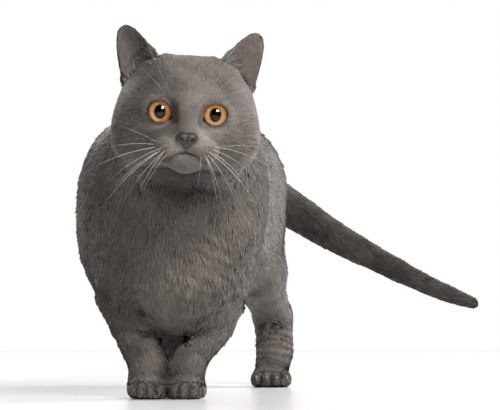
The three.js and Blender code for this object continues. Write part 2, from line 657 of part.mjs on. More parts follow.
for (const side of ["left", "right"]) {
  const fore = blend(16, torsoForm, forelegs[side]);
  const foreX = FORELEG.elbow[side];
  const foreNet = solidOf(netOf(fore, [[foreX - 50, -26, 14], [foreX + 50, 124, 130]], 12));
  piece(`foreleg_${side}`, keep(foreNet, WRIST).intersect(legWedge(FORE_WEDGE, side, 0)), BLUE_COAT);
  const pawX = FORELEG.paw[side];
  const pawNet = solidOf(netOf(forelegs[side], [[pawX - 28, -10, -10], [pawX + 28, 62, 46]], 7.8));
  const forepaw = keep(keep(pawNet, otherSide(WRIST)), FLOOR);
  piece(`forepaw_${side}`, keep(forepaw, BETWEEN_PAWS[side]), BLUE_COAT);

  const hind = blend(16, torsoForm, hindlegs[side]);
  const hindX = HINDLEG.haunch[side];
  const hindNet = solidOf(netOf(hind, [[hindX - 120, 176, 40], [hindX + 120, 384, 232]], [15, 18, 15]));
  piece(`thigh_${side}`, keep(hindNet.intersect(legWedge(HIND_WEDGE, side, 0)), otherSide(KNEE)), BLUE_COAT);
  const shankNet = solidOf(netOf(hind, [[hindX - 96, 186, 36], [hindX + 96, 352, 150]], [14, 15, 13]));
  const shank = keep(keep(shankNet, KNEE), HOCK);
  piece(`shank_${side}`, shank.intersect(legWedge(HIND_WEDGE, side, 0)), BLUE_COAT);
  const footX = HINDLEG.paw[side];
  const footNet = solidOf(netOf(hindlegs[side], [[footX - 40, 260, -10], [footX + 40, 350, 92]], 11.2));
  const standing = keep(keep(footNet, otherSide(HOCK)), FLOOR);
  piece(`hindfoot_${side}`, keep(standing, otherSide(ANKLE)), BLUE_COAT);

  const place = pawPlace(HINDLEG, HINDPAW, side);
  const clawPlaces = [-1.5, -0.5, 0.5, 1.5].map((toe) =>
    place.clone().multiply(
      new THREE.Matrix4().makeTranslation(
        toe * HINDPAW.halfWidth * 0.5,
        -HINDPAW.toeReach - HINDPAW.halfWidth * 0.5 + Math.abs(toe) * 2.6 + CLAW.rootDepth,
        CLAW.z,
      ),
    ),
  );
  const claws = (room) => clawPlaces.map((at) => solidOf(clawHorn(room).applyMatrix4(at)));
  const pawOnly = solidOf(netOf(hindlegs[side], [[footX - 30, 236, -10], [footX + 30, 316, 60]], 8.4));
  const hindpaw = claws(GAP).reduce(
    (rest, claw) => rest.subtract(claw),
    keep(keep(keep(pawOnly, otherSide(HOCK)), FLOOR), ANKLE),
  );
  piece(`hindpaw_${side}`, hindpaw, BLUE_COAT);
  claws(0).forEach((claw, i) => piece(`claw_${side}_${i + 1}`, claw, CLAW_HORN));
}

// The model's origin is on the floor under the middle of its bounding box.
const bounds = new THREE.Box3().setFromObject(cat, true);
const middle = bounds.getCenter(new THREE.Vector3());
cat.position.set(-middle.x, -middle.y, -bounds.min.z);

export default cat;
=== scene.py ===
# %% [markdown]
# # A blue shorthair cat, as a still life-size model
# The cat stands facing the reader, with its rump and tail set to its own left. The solids of the frame reach
# out to the tips of the coat. Here they get what a museum model has: one skin under the coat, glass eyes, nose
# leather, horn claws, whiskers, and a coat of small closed tufts that follow the lie of the hair.

# %% Load the frame
import math

import bpy
import numpy as np
from mathutils import Matrix, Vector
from mathutils.bvhtree import BVHTree


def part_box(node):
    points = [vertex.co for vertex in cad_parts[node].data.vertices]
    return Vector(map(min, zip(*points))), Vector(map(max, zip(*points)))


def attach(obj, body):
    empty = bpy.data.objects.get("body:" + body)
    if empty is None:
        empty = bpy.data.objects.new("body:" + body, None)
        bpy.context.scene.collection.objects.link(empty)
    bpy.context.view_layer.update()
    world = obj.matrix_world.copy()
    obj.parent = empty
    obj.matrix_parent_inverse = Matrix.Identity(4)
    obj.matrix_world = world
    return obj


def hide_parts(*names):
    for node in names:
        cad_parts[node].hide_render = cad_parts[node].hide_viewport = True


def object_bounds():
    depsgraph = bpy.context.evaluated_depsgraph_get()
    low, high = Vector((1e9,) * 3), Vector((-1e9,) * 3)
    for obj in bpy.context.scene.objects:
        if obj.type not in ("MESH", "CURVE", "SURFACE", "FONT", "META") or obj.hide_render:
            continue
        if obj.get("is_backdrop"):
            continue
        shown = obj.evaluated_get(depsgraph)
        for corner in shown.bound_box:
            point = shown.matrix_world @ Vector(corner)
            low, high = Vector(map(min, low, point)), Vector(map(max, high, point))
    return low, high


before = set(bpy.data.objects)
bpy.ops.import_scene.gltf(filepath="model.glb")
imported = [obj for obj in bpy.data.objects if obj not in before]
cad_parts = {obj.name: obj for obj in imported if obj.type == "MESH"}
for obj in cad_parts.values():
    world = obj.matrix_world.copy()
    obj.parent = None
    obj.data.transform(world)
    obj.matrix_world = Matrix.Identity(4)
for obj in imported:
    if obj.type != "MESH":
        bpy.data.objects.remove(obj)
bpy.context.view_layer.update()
MM = 0.001
rng = np.random.default_rng(7)


# %% [markdown]
# ## Helpers for finishes
# Colours are kept as sRGB hex values, as a paint chart gives them, and one function makes them linear. One
# function adds a node with its settings and links, so that each finish below reads as a short recipe.

# %% Colours and nodes
def linear(hex_colour):
    """An sRGB hex colour as the linear colour that a socket takes."""
    parts = [(hex_colour >> shift & 255) / 255 for shift in (16, 8, 0)]
    return (*[p / 12.92 if p <= 0.04045 else ((p + 0.055) / 1.055) ** 2.4 for p in parts], 1)


def node(tree, kind, inputs=None, **settings):
    """Adds a node. An input is a constant, or the output of another node."""
    made = tree.nodes.new("ShaderNode" + kind)
    for name, value in settings.items():
        setattr(made, name, value)
    for name, value in (inputs or {}).items():
        if isinstance(value, bpy.types.NodeSocket):
            tree.links.new(value, made.inputs[name])
        else:
            made.inputs[name].default_value = value
    return made


def finish(name, build):
    """A material whose surface is what build adds to its node tree."""
    made = bpy.data.materials.new(name)
    made.use_nodes = True
    made.node_tree.nodes.clear()
    surface = build(made.node_tree)
    node(made.node_tree, "OutputMaterial", {"Surface": surface.outputs[0]})
    return made


def ramp(tree, factor, *stops):
    """A colour ramp through (place, hex colour) stops."""
    made = node(tree, "ValToRGB", {"Fac": factor})
    elements = made.color_ramp.elements
    elements[0].position, elements[0].color = stops[0][0], linear(stops[0][1])
    elements[1].position, elements[1].color = stops[-1][0], linear(stops[-1][1])
    for place, colour in stops[1:-1]:
        elements.new(place).color = linear(colour)
    return made.outputs["Color"]


# %% [markdown]
# ## Camera, floor and light
# The camera stands about two metres in front, low, with a long lens. A large soft box hangs above and to the
# right of it, as its reflection in the eyes shows, and a pale floor and wall fill in from all round.

# %% Camera
CAMERA_AT = (-37.9 * MM, -2184.7 * MM, 93 * MM)
CAMERA_TILT = 2.06  # degrees up
CAMERA_LENS = 172.15

camera_data = bpy.data.cameras.new("camera")
camera_data.lens, camera_data.sensor_width, camera_data.clip_end = CAMERA_LENS, 36, 50
camera = bpy.data.objects.new("camera", camera_data)
bpy.context.collection.objects.link(camera)
camera.location = CAMERA_AT
camera.rotation_euler = (math.radians(90 + CAMERA_TILT), 0, 0)
bpy.context.scene.camera = camera
print("camera: lens", CAMERA_LENS, "mm")


# %% Floor and backdrop
def studio_white(tree):
    return node(tree, "BsdfPrincipled", {
        "Base Color": linear(0xD8D7D5), "Roughness": 0.3, "IOR": 1.8,
    })


def backdrop_white(tree):
    return node(tree, "Emission", {"Color": (1, 1, 1, 1), "Strength": 1.0})


STUDIO = 8.0  # metres across
bpy.ops.object.select_all(action="DESELECT")
bpy.ops.mesh.primitive_plane_add(size=STUDIO, location=(0, 0, 0))
floor = bpy.context.object
floor.name = "studio_floor"
floor.data.materials.append(finish("studio_floor_paint", studio_white))
floor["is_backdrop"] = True
bpy.ops.mesh.primitive_plane_add(size=STUDIO, location=(0, 1.6, 2.0), rotation=(math.radians(90), 0, 0))
backdrop = bpy.context.object
backdrop.name = "studio_backdrop"
backdrop.data.materials.append(finish("studio_backdrop_paint", backdrop_white))
backdrop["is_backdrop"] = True


# %% Lights
def soft_box(name, place, target, size, watts):
    lamp = bpy.data.lights.new(name, "AREA")
    lamp.shape, lamp.size, lamp.energy = "SQUARE", size, watts
    made = bpy.data.objects.new(name, lamp)
    bpy.context.collection.objects.link(made)
    made.location = place
    made.rotation_euler = (Vector(target) - Vector(place)).to_track_quat("-Z", "Y").to_euler()


CAT_MIDDLE = (-0.09, -0.1, 0.18)
soft_box("key_light", (0.72, -1.68, 1.41), CAT_MIDDLE, 0.8, 54)
soft_box("side_light", (1.5, 0.5, 0.95), CAT_MIDDLE, 0.8, 46)
bpy.data.objects["side_light"].visible_glossy = False  # the eyes show the key light alone
soft_box("back_light", (-1.1, 1.3, 1.5), CAT_MIDDLE, 0.9, 24)
world = bpy.data.worlds.new("studio_air")
bpy.context.scene.world = world
world.use_nodes = True
world.node_tree.nodes["Background"].inputs["Color"].default_value = (1, 1, 1, 1)
world.node_tree.nodes["Background"].inputs["Strength"].default_value = 0.05
bpy.context.scene.view_settings.view_transform = "Standard"


# %% [markdown]
# ## The head's own measure
# A face is symmetrical, and the head is nodded, rolled and turned a little, so everything on it is placed in
# millimetres in the head's own measure: X to the cat's left, -Y out of the face, Z up. The two eyes of the
# frame say where that measure lies.

# %% The head's measure
EYE_CENTRE = np.array([22, -37.5, 7.5])
EYE_RADIUS = 11.5
HEAD_TURN = (Matrix.Rotation(math.radians(4), 3, "X") @ Matrix.Rotation(math.radians(3.5), 3, "Y")
             @ Matrix.Rotation(math.radians(3), 3, "Z"))
head_axes = np.array(HEAD_TURN)


def middle(name):
    low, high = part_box(name)
    return np.array((low + high) / 2)


head_origin = (middle("eye_left") + middle("eye_right")) / 2 - head_axes @ (EYE_CENTRE * [0, 1, 1]) * MM


def to_head(points):
    return (points - head_origin) @ head_axes / MM


def from_head(places):
    return np.asarray(places, float) * MM @ head_axes.T + head_origin


print("head at", np.round(head_origin / MM, 1), "mm")


# %% Forms of the head, as distances in millimetres
def egg(p, at, half):
    k = (p - at) / half
    reach = np.linalg.norm(k, axis=1)
    return (reach - 1) * reach / np.maximum(np.linalg.norm(k / half, axis=1), 1e-9)


def limb(p, start, end, radius_start, radius_end):
    start, end = np.array(start, float), np.array(end, float)
    along = end - start
    t = np.clip((p - start) @ along / (along @ along), 0, 1)
    off = np.linalg.norm(p - start - t[:, None] * along, axis=1)
    return off - (radius_start + (radius_end - radius_start) * t)


def blend(width, *distances):
    total = distances[0]
    for d in distances[1:]:
        overlap = np.maximum(width - np.abs(total - d), 0) / width
        total = np.minimum(total, d) - overlap ** 2 * width / 4
    return total


def head_form(p):
    """How far each place is from the head's surface at the coat's tips, without ears and eyes."""
    m = p * [1, 1, 1]
    m[:, 0] = np.abs(m[:, 0])
    skull = blend(14, egg(p, [0, 2, 12], [57, 44, 44]), egg(p, [0, -14, 0], [48, 34, 37]),
                  egg(m, [34.5, -4, -12], [27.5, 34, 29]), egg(m, [26, 0, 44], [11, 13, 10.5]))
    front = blend(9, limb(p, [0, -34, 18], [0, -59, -9], 17, 11), egg(m, [13, -52, -20.5], [14.5, 15.6, 11.8]),
                  egg(p, [0, -47.5, -30.5], [15, 14, 12]))
    return blend(12, skull, front)


def slope(form, p, step=0.5):
    """The unit direction in which a form's distance grows."""
    found = np.stack([form(p + step * axis) - form(p - step * axis) for axis in np.eye(3)], axis=1)
    return found / np.maximum(np.linalg.norm(found, axis=1, keepdims=True), 1e-9)


def smooth(low, high, values):
    """Rises from 0 at low to 1 at high, with soft ends."""
    t = np.clip((values - low) / (high - low), 0, 1)
    return t * t * (3 - 2 * t)


# %% [markdown]
# ## The skin: one closed mesh
# The frame's pieces of flesh meet with hairline gaps. A real skin has no seams, so copies of them are merged,
# joined with small balls for the toes, and remeshed with voxels, which closes every gap. The frame's own
# meshes stay untouched: they are hidden, and kept for the physics.

# %% Join copies of the flesh
FLESH = [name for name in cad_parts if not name.startswith(("eye", "claw", "nose"))]
THICK_FLESH = [name for name in FLESH if not name.startswith("ear")]
FILLING = ["eye_left", "eye_right", "nose"]  # these close the sockets until lids and nose are shaped
VOXEL = 3.0 * MM


def only(piece):
    """Selects one object and nothing else."""
    bpy.ops.object.select_all(action="DESELECT")
    piece.select_set(True)
    bpy.context.view_layer.objects.active = piece


def copy_of(name):
    piece = bpy.data.objects.new("copy_" + name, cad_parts[name].data.copy())
    piece.data.materials.clear()
    bpy.context.collection.objects.link(piece)
    only(piece)
    bpy.ops.object.mode_set(mode="EDIT")
    bpy.ops.mesh.select_all(action="SELECT")
    bpy.ops.mesh.remove_doubles(threshold=1e-6)
    bpy.ops.object.mode_set(mode="OBJECT")
    return piece


copies = [copy_of(name) for name in THICK_FLESH + FILLING]
print("copied", len(copies), "solids")

# %% Toes
TOE_PLACES = (-1.5, -0.5, 0.5, 1.5)


def add_toe(centre, half, turn):
    bpy.ops.mesh.primitive_uv_sphere_add(segments=24, ring_count=16, radius=1, location=centre,
                                         scale=half, rotation=(0, 0, turn))
    bpy.ops.object.transform_apply(location=True, rotation=True, scale=True)
    copies.append(bpy.context.object)


add_toe((-33 * MM, 146 * MM, 142 * MM), (24 * MM, 25 * MM, 34 * MM), 0)  # fills in behind the thigh
bpy.ops.object.select_all(action="DESELECT")
for paw in ("forepaw_left", "forepaw_right", "hindpaw_left", "hindpaw_right"):
    low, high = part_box(paw)
    toe_width = (high.x - low.x) * 0.135
    for place in TOE_PLACES:
        add_toe(((low.x + high.x) / 2 + place * toe_width * 1.72, low.y + (12.5 + abs(place) ** 2 * 1.6) * MM, 9 * MM),
                (toe_width, 11.5 * MM, 8.6 * MM), math.radians(-5 * place))

# %% Join and remesh
bpy.ops.object.select_all(action="DESELECT")
for piece in copies:
    piece.select_set(True)
bpy.context.view_layer.objects.active = copies[0]
bpy.ops.object.join()
skin = bpy.context.object
skin.name = skin.data.name = "skin"
remesh = skin.modifiers.new("close_gaps", "REMESH")
remesh.mode, remesh.voxel_size = "VOXEL", VOXEL
bpy.ops.object.modifier_apply(modifier=remesh.name)
print("skin:", len(skin.data.polygons), "faces")


# %% [markdown]
# ## Guides: how the coat lies, how long and how deep it is
# A groomer knows the lie of the coat as a map: back along the spine, down the chest and the legs, out along
# the tail, and away from the nose over the face. Each guide is a stretch inside the body with the way the
# hair lies over it. A place on the skin takes a mean of its nearest guides, so the lie turns smoothly.

# %% The guides
# name of the coat's region, start, end, radius, lie (None: along the stretch), hair length, coat depth; in mm
GUIDES = [
    ("back", (-94, -90, 205), (-93, 40, 205), 50, (0, 1, -0.12), 12, 5.5),
    ("rump", (-85, 80, 200), (-68, 150, 205), 52, (0.1, 1, -0.3), 13, 6),
    ("flank_left", (-42, -40, 165), (-34, 90, 165), 18, (0, 1, -0.5), 13, 6),
    ("flank_right", (-174, -40, 165), (-160, 90, 165), 18, (0, 1, -0.5), 13, 6),
    ("belly", (-104, -50, 92), (-98, 100, 104), 22, (0, 1, 0), 14, 6),
    ("chest", (-94, -190, 185), (-97, -150, 112), 24, (0, 0.3, -1), 14, 6.5),
    ("chest", (-97, -150, 112), (-98, -122, 78), 12, (0, 0.5, -1), 13, 6),
    ("shoulder_left", (-52, -120, 190), (-58, -98, 118), 22, (0.2, 0.3, -1), 12, 5.5),
    ("shoulder_right", (-142, -120, 190), (-146, -98, 118), 22, (-0.2, 0.3, -1), 12, 5.5),
    ("neck", (-92, -180, 225), (-95, -115, 215), 46, (0, 1, -0.5), 13, 6),
    ("neck", (-62, -165, 200), (-50, -125, 195), 18, (0.35, 0.5, -1), 13, 6),
    ("neck", (-122, -165, 200), (-138, -125, 195), 18, (-0.35, 0.5, -1), 13, 6),
    ("haunches", (-34, 150, 200), (-30, 110, 130), 24, (0.1, -0.15, -1), 12, 5.5),
    ("haunches", (-92, 150, 200), (-98, 110, 130), 24, (-0.1, -0.15, -1), 12, 5.5),
]
# The joints of the legs, from the shoulder or haunch down, with radius, hair length and coat depth.
LEGS = {
    "foreleg_left": [((-64, -101, 158), 30, 12, 5.5), ((-67, -83, 91), 25, 10, 4.6), ((-75, -95, 60), 20, 8.5, 3.6),
                     ((-88, -109, 30), 16, 6.5, 2.4), ((-92, -118, 12), 14, 4, 1.2), ((-92, -140, 6), 8, 3.4, 1)],
    "foreleg_right": [((-142, -101, 158), 30, 12, 5.5), ((-147, -83, 91), 25, 10, 4.6), ((-136, -95, 60), 20, 8.5, 3.6),
                      ((-126.5, -109, 30), 16, 6.5, 2.4), ((-127, -118, 12), 14, 4, 1.2), ((-127, -140, 6), 8, 3.4, 1)],
    "hindleg_left": [((-32, 101, 112), 25, 12, 5), ((-15, 177, 68), 19, 9, 4), ((-13, 159, 32), 17, 7, 3),
                     ((-18, 142, 12), 13, 4.5, 1.4), ((-18, 112, 6), 8, 3.6, 1)],
    "hindleg_right": [((-94, 101, 112), 25, 12, 5), ((-108, 177, 68), 19, 9, 4), ((-108, 159, 32), 17, 7, 3),
                      ((-104, 142, 12), 13, 4.5, 1.4), ((-104, 112, 6), 8, 3.6, 1)],
    "tail": [((-74, 187, 212), 28, 13, 5), ((-40, 231, 196), 24, 13, 4.8), ((1, 257, 178.5), 19.5, 12, 4.4),
             ((43, 267, 152), 16, 12, 4), ((99, 273, 122), 12.4, 11, 3.4), ((150, 275, 96.5), 9.4, 10, 2.8),
             ((190, 275, 81), 6.8, 9, 2.2)],
}
for region, joints in LEGS.items():
    for (start, radius, length, depth), (end, *_) in zip(joints, joints[1:]):
        GUIDES.append((region, start, end, radius, None, length, depth))
REGIONS = list(dict.fromkeys(guide[0] for guide in GUIDES)) + ["head", "ears"]
print("guides:", len(GUIDES), "over", len(REGIONS), "regions")

# %% The lie on the head
NOSE_TIP = np.array([0, -74, -15])
EAR_BASE, EAR_TIP = np.array([33.5, 3, 33]), np.array([56.2, 6, 75.6])


def unit(vectors):
    return vectors / np.maximum(np.linalg.norm(vectors, axis=1, keepdims=True), 1e-9)


def head_coat(h):
    """Hair length and coat depth in mm at places in the head's measure."""
    from_nose = np.linalg.norm(h - NOSE_TIP, axis=1)
    cheek = smooth(24, 46, np.abs(h[:, 0])) * smooth(14, -16, h[:, 2])
    length = 2.2 + 4.8 * smooth(10, 70, from_nose) + 4 * cheek
    depth = 0.6 + 1.7 * smooth(10, 60, from_nose) + 2.2 * cheek
    under = smooth(-34, -44, h[:, 2])  # the throat grows as deep as the neck
    from_eye = np.linalg.norm(h * [0, 1, 1] + np.abs(h) * [1, 0, 0] - EYE_CENTRE, axis=1)
    lid = smooth(24, 13, from_eye)  # and the lids have the shortest hair of all
    return (length + 4 * under) * (1 - 0.5 * lid), (depth + 2 * under) * (1 - 0.6 * lid)


def ear_share(h):
    """1 on an ear, 0 on the head."""
    side = np.sign(h[:, :1]) * [1, 0, 0] + [0, 1, 1]
    up = (EAR_TIP - EAR_BASE) / np.linalg.norm(EAR_TIP - EAR_BASE)
    height = (h * side - EAR_BASE) @ up
    return smooth(0.5, 5, head_form(h)) * smooth(8, 14, height + 6) * smooth(10, 16, h[:, 2])


def coat_fields(co, normals):
    """The lie (unit, along the skin), hair length, coat depth and region of each place on the skin."""
    p, h = co / MM, to_head(co)
    total = np.zeros(len(co))
    lie, size = np.zeros((len(co), 3)), np.zeros((len(co), 2))
    best, region = np.zeros(len(co)), np.zeros(len(co), int)

    def add(name, distance, way, sizes):
        nonlocal total, lie, size, best, region
        weight = 1 / (np.maximum(distance, 0) + 3) ** 3
        total, lie = total + weight, lie + weight[:, None] * way
        size = size + weight[:, None] * sizes
        region = np.where(weight > best, REGIONS.index(name), region)
        best = np.maximum(best, weight)

    for name, start, end, radius, way, length, depth in GUIDES:
        way = np.array(way if way else np.subtract(end, start), float)
        add(name, limb(p, start, end, radius, radius), way / np.linalg.norm(way), np.array([length, depth]))
    from_nose = unit(h - NOSE_TIP)
    from_nose[:, 2] -= 0.25 * smooth(10, 40, np.abs(h[:, 0]))
    add("head", head_form(h) - 14, unit(from_nose) @ head_axes.T, np.stack(head_coat(h), 1))
    lie, size = lie / total[:, None], size / total[:, None]
    ear = ear_share(h)[:, None]
    up_ear = unit((EAR_TIP - EAR_BASE)[None]) * np.where(h[:, :1] > 0, [[1, 1, 1]], [[-1, 1, 1]])
    lie = lie * (1 - ear) + ear * (up_ear @ head_axes.T)
    size = size * (1 - ear) + ear * np.array([4.0, 0.6])
    region = np.where(ear[:, 0] > 0.5, REGIONS.index("ears"), region)
    lie = lie - normals * np.sum(lie * normals, axis=1, keepdims=True)
    return unit(lie), size[:, 0], size[:, 1], region


# %% [markdown]
# ## Shaping the skin
# The remeshed skin still has the facets of the solids. Smoothing that alternates a shrinking and a growing
# step takes facets away and keeps the volume. Then each point sinks by the depth of the coat over it, so that
# the tips of the hair, and not the skin, make the outline.

# %% Reading and writing a mesh's points
def points_of(mesh):
    found = np.empty(len(mesh.vertices) * 3, np.float32)
    mesh.vertices.foreach_get("co", found)
    return found.reshape(-1, 3).astype(float)


def normals_of(mesh):
    mesh.update()
    found = np.empty(len(mesh.vertices) * 3, np.float32)
    mesh.vertex_normals.foreach_get("vector", found)
    return found.reshape(-1, 3).astype(float)


def set_points(mesh, points):
    mesh.vertices.foreach_set("co", points.astype(np.float32).ravel())
    mesh.update()


def edges_of(mesh):
    found = np.empty(len(mesh.edges) * 2, np.int32)
    mesh.edges.foreach_get("vertices", found)
    return found.reshape(-1, 2)


def eased(co, edges, strength, rounds):
    """Smooths by turns inwards and outwards, so that the shape doesn't shrink."""
    a, b = edges.T
    count = np.maximum(np.bincount(a, minlength=len(co)) + np.bincount(b, minlength=len(co)), 1)
    for turn in range(2 * rounds):
        mean = np.stack([np.bincount(a, co[b, k], len(co)) + np.bincount(b, co[a, k], len(co))
                         for k in range(3)], 1) / count[:, None]
        co = co + (0.5 if turn % 2 == 0 else -0.52) * strength[:, None] * (mean - co)
    return co


def filled(mesh, edges, share, rounds):
    """Fills creases as a fillet does: points move out to the mean of their neighbours, and never inwards."""
    co = points_of(mesh)
    a, b = edges.T
    count = np.maximum(np.bincount(a, minlength=len(co)) + np.bincount(b, minlength=len(co)), 1)
    for turn in range(rounds):
        if turn % 4 == 0:
            set_points(mesh, co)
            normals = normals_of(mesh)
        mean = np.stack([np.bincount(a, co[b, k], len(co)) + np.bincount(b, co[a, k], len(co))
                         for k in range(3)], 1) / count[:, None]
        rise = np.maximum(np.sum((mean - co) * normals, 1), 0)
        co = co + normals * (0.8 * share * rise)[:, None]
    set_points(mesh, co)
    return co


def drawn_onto_head(mesh, co, reach):
    """Moves the front of the head's points onto the head's form, where they are within reach of it."""
    h = to_head(co)
    outwards, off = slope(head_form, h), head_form(h)
    facing = np.sum((normals_of(mesh) @ head_axes) * outwards, axis=1)
    pull = smooth(reach, reach / 2, np.abs(off)) * smooth(0.5, 0.8, facing) * smooth(12, -8, h[:, 1])
    return from_head(h - outwards * (off * pull)[:, None])


# %% Take away the facets
co, edges = points_of(skin.data), edges_of(skin.data)
_, _, coat_depth, region = coat_fields(co, normals_of(skin.data))
fine = np.isin(region, [REGIONS.index("ears")]) | (coat_depth < 1.6)
co = eased(co, edges, np.where(fine, 0.25, 1.0), 26)
set_points(skin.data, co)
set_points(skin.data, drawn_onto_head(skin.data, co, 6))
h = to_head(co)
face = smooth(-8, -24, h[:, 1]) * (np.abs(h[:, 2]) < 70)
under_chin = smooth(-24, -34, h[:, 2]) * smooth(20, -6, h[:, 1]) * smooth(46, 30, np.abs(h[:, 0])) * (h[:, 2] > -80)
forelegs = smooth(130, 90, co[:, 2] / MM) * smooth(-50, -70, co[:, 1] / MM)
creases = (1 - face) * (1 - 0.9 * under_chin) * (1 - forelegs) * smooth(18, 34, co[:, 2] / MM)
before = co
co = filled(skin.data, edges, creases, 70)
low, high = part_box("rump")
behind = smooth(-40, 0, co[:, 1] / MM) * smooth(85, 110, co[:, 2] / MM)
behind *= smooth(high.y / MM + 40, high.y / MM, co[:, 1] / MM)  # the tail keeps its shape
co = filled(skin.data, edges, behind, 320)
co = eased(co, edges, 0.9 * behind, 25)
set_points(skin.data, co)
print("creases filled by up to", round(np.abs(co - before).max() / MM, 1), "mm")


# %% Finer faces where the face needs them
def subdivide(piece, wanted):
    """Cuts each face for which wanted(places in the head's measure) is true into four."""
    only(piece)
    mesh = piece.data
    centres = np.empty(len(mesh.polygons) * 3, np.float32)
    mesh.polygons.foreach_get("center", centres)
    chosen = wanted(to_head(centres.reshape(-1, 3).astype(float)))
    mesh.vertices.foreach_set("select", np.zeros(len(mesh.vertices), bool))
    mesh.edges.foreach_set("select", np.zeros(len(mesh.edges), bool))
    mesh.polygons.foreach_set("select", chosen)
    bpy.ops.object.mode_set(mode="EDIT")
    bpy.ops.mesh.select_mode(type="FACE")
    bpy.ops.mesh.subdivide(number_cuts=1)
    bpy.ops.object.mode_set(mode="OBJECT")


subdivide(skin, lambda h: (h[:, 1] < -6) & (np.abs(h[:, 0]) < 54) & (np.abs(h[:, 2]) < 46))
subdivide(skin, lambda h: (h[:, 1] < -24) & (np.abs(h[:, 0]) < 38) & (h[:, 2] > -38) & (h[:, 2] < 24))
print("skin with a finer face:", len(skin.data.polygons), "faces")

# %% Grooves between the toes
TOE_GROOVES = ((-0.52, -0.1), (0.0, 0.0), (0.52, 0.1))  # place over the paw's half width at the floor, and lean
PAWS = [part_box(name) for name in ("forepaw_left", "forepaw_right", "hindpaw_left", "hindpaw_right")]


def paw_places(co, low, high):
    """Places on a paw: across (-1 to 1), mm behind its front, and mm over the floor."""
    return np.stack([(co[:, 0] - (low.x + high.x) / 2) / (high.x - low.x) * 2, (co[:, 1] - low.y) / MM, co[:, 2] / MM], 1)


def toe_grooves(co):
    """1 in the grooves between and over the toes."""
    found = np.zeros(len(co))
    for low, high in PAWS:
        across, back, up = paw_places(co, low, high).T
        half = (high.x - low.x) / 2 / MM
        on = smooth(1.15, 1.02, np.abs(across)) * smooth(19, 13, back) * (back > -4) * (up > -1)
        for place, lean in TOE_GROOVES:
            line = place - lean * smooth(4, 20, up)
            off = (across - line) * half
            found = np.maximum(found, on * np.exp(-(off / 1.1) ** 2) * smooth(19, 14, up) * (1.0 if place else 0.85))
        arch = 16.5 - 3.5 * across ** 2
        found = np.maximum(found, on * 0.4 * np.exp(-((up - arch) / 1.4) ** 2))
    return found


def subdivide_paws(co):
    chosen = np.zeros(len(co), bool)
    for low, high in PAWS:
        across, back, up = paw_places(co, low, high).T
        chosen |= (np.abs(across) < 1.1) & (back < 17) & (back > -4) & (up < 21) & (up > 1)
    return chosen


for _ in range(2):
    subdivide(skin, lambda h: subdivide_paws(from_head(h)))
co = points_of(skin.data)
co = co - normals_of(skin.data) * (2.6 * toe_grooves(co))[:, None] * MM
set_points(skin.data, co)
print("skin with toes:", len(skin.data.polygons), "faces")

# %% Sink the skin by the coat's depth
co, edges = points_of(skin.data), edges_of(skin.data)
co = drawn_onto_head(skin.data, co, 4)
set_points(skin.data, co)
normals = normals_of(skin.data)
_, _, coat_depth, _ = coat_fields(co, normals)
co = co - normals * coat_depth[:, None] * MM
co = eased(co, edges, np.full(len(co), 0.6), 2)
h = to_head(co)
hollow = smooth(-37, -47, h[:, 2]) * smooth(-96, -66, h[:, 2]) * np.exp(-(h[:, 0] / 34) ** 2) * smooth(40, 10, h[:, 1])
co = co + np.array([0, 9, 0]) * MM * hollow[:, None]  # the throat lies back, under the chin
low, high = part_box("forepaw_left")
FORELEGS_MEET = (low.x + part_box("forepaw_right")[1].x) / 2 / MM
apart = np.exp(-((co[:, 0] / MM - FORELEGS_MEET) / 3.6) ** 2) * smooth(84, 60, co[:, 2] / MM)
apart *= np.clip(-normals[:, 1], 0, 1) * smooth(-92, -108, co[:, 1] / MM)
co[:, 1] += 8 * MM * apart
print("forelegs meet at x", round(FORELEGS_MEET, 1), "mm; pushed back:", int((apart > 0.3).sum()), "points")
outer = smooth(0.1, 1, (co[:, 0] - (low.x + high.x) / 2) / (high.x - low.x) * 2) * smooth(62, 30, co[:, 2] / MM)
co[:, 0] -= 5.5 * MM * outer * smooth(-60, -80, co[:, 1] / MM)  # this paw is slimmer to its outside
set_points(skin.data, co)
print("coat depth from", round(coat_depth.min(), 1), "to", round(coat_depth.max(), 1), "mm")

# %% [markdown]
# ## Ears
# An ear is a thin curled leaf, too thin for the voxels. It is modelled by itself as a grid of rings, from a root
# inside the skull to a rounded tip, and a boolean union makes it one with the skin.

# %% Ear leaves
EAR_INNER, EAR_OUTER = np.array([20, -4, 49]), np.array([53, 8, 22])
EAR_WIDTH, EAR_ROUND, EAR_WIDEST = 3.9, 0.42, 18.2  # half width: a power of the distance from the tip, limited
EAR_CUP, EAR_THICKNESS = (74, 24), (3.4, 1.5)  # degrees of curl and thickness, at the base and at the tip
EAR_ROWS, EAR_COLUMNS = 30, 20


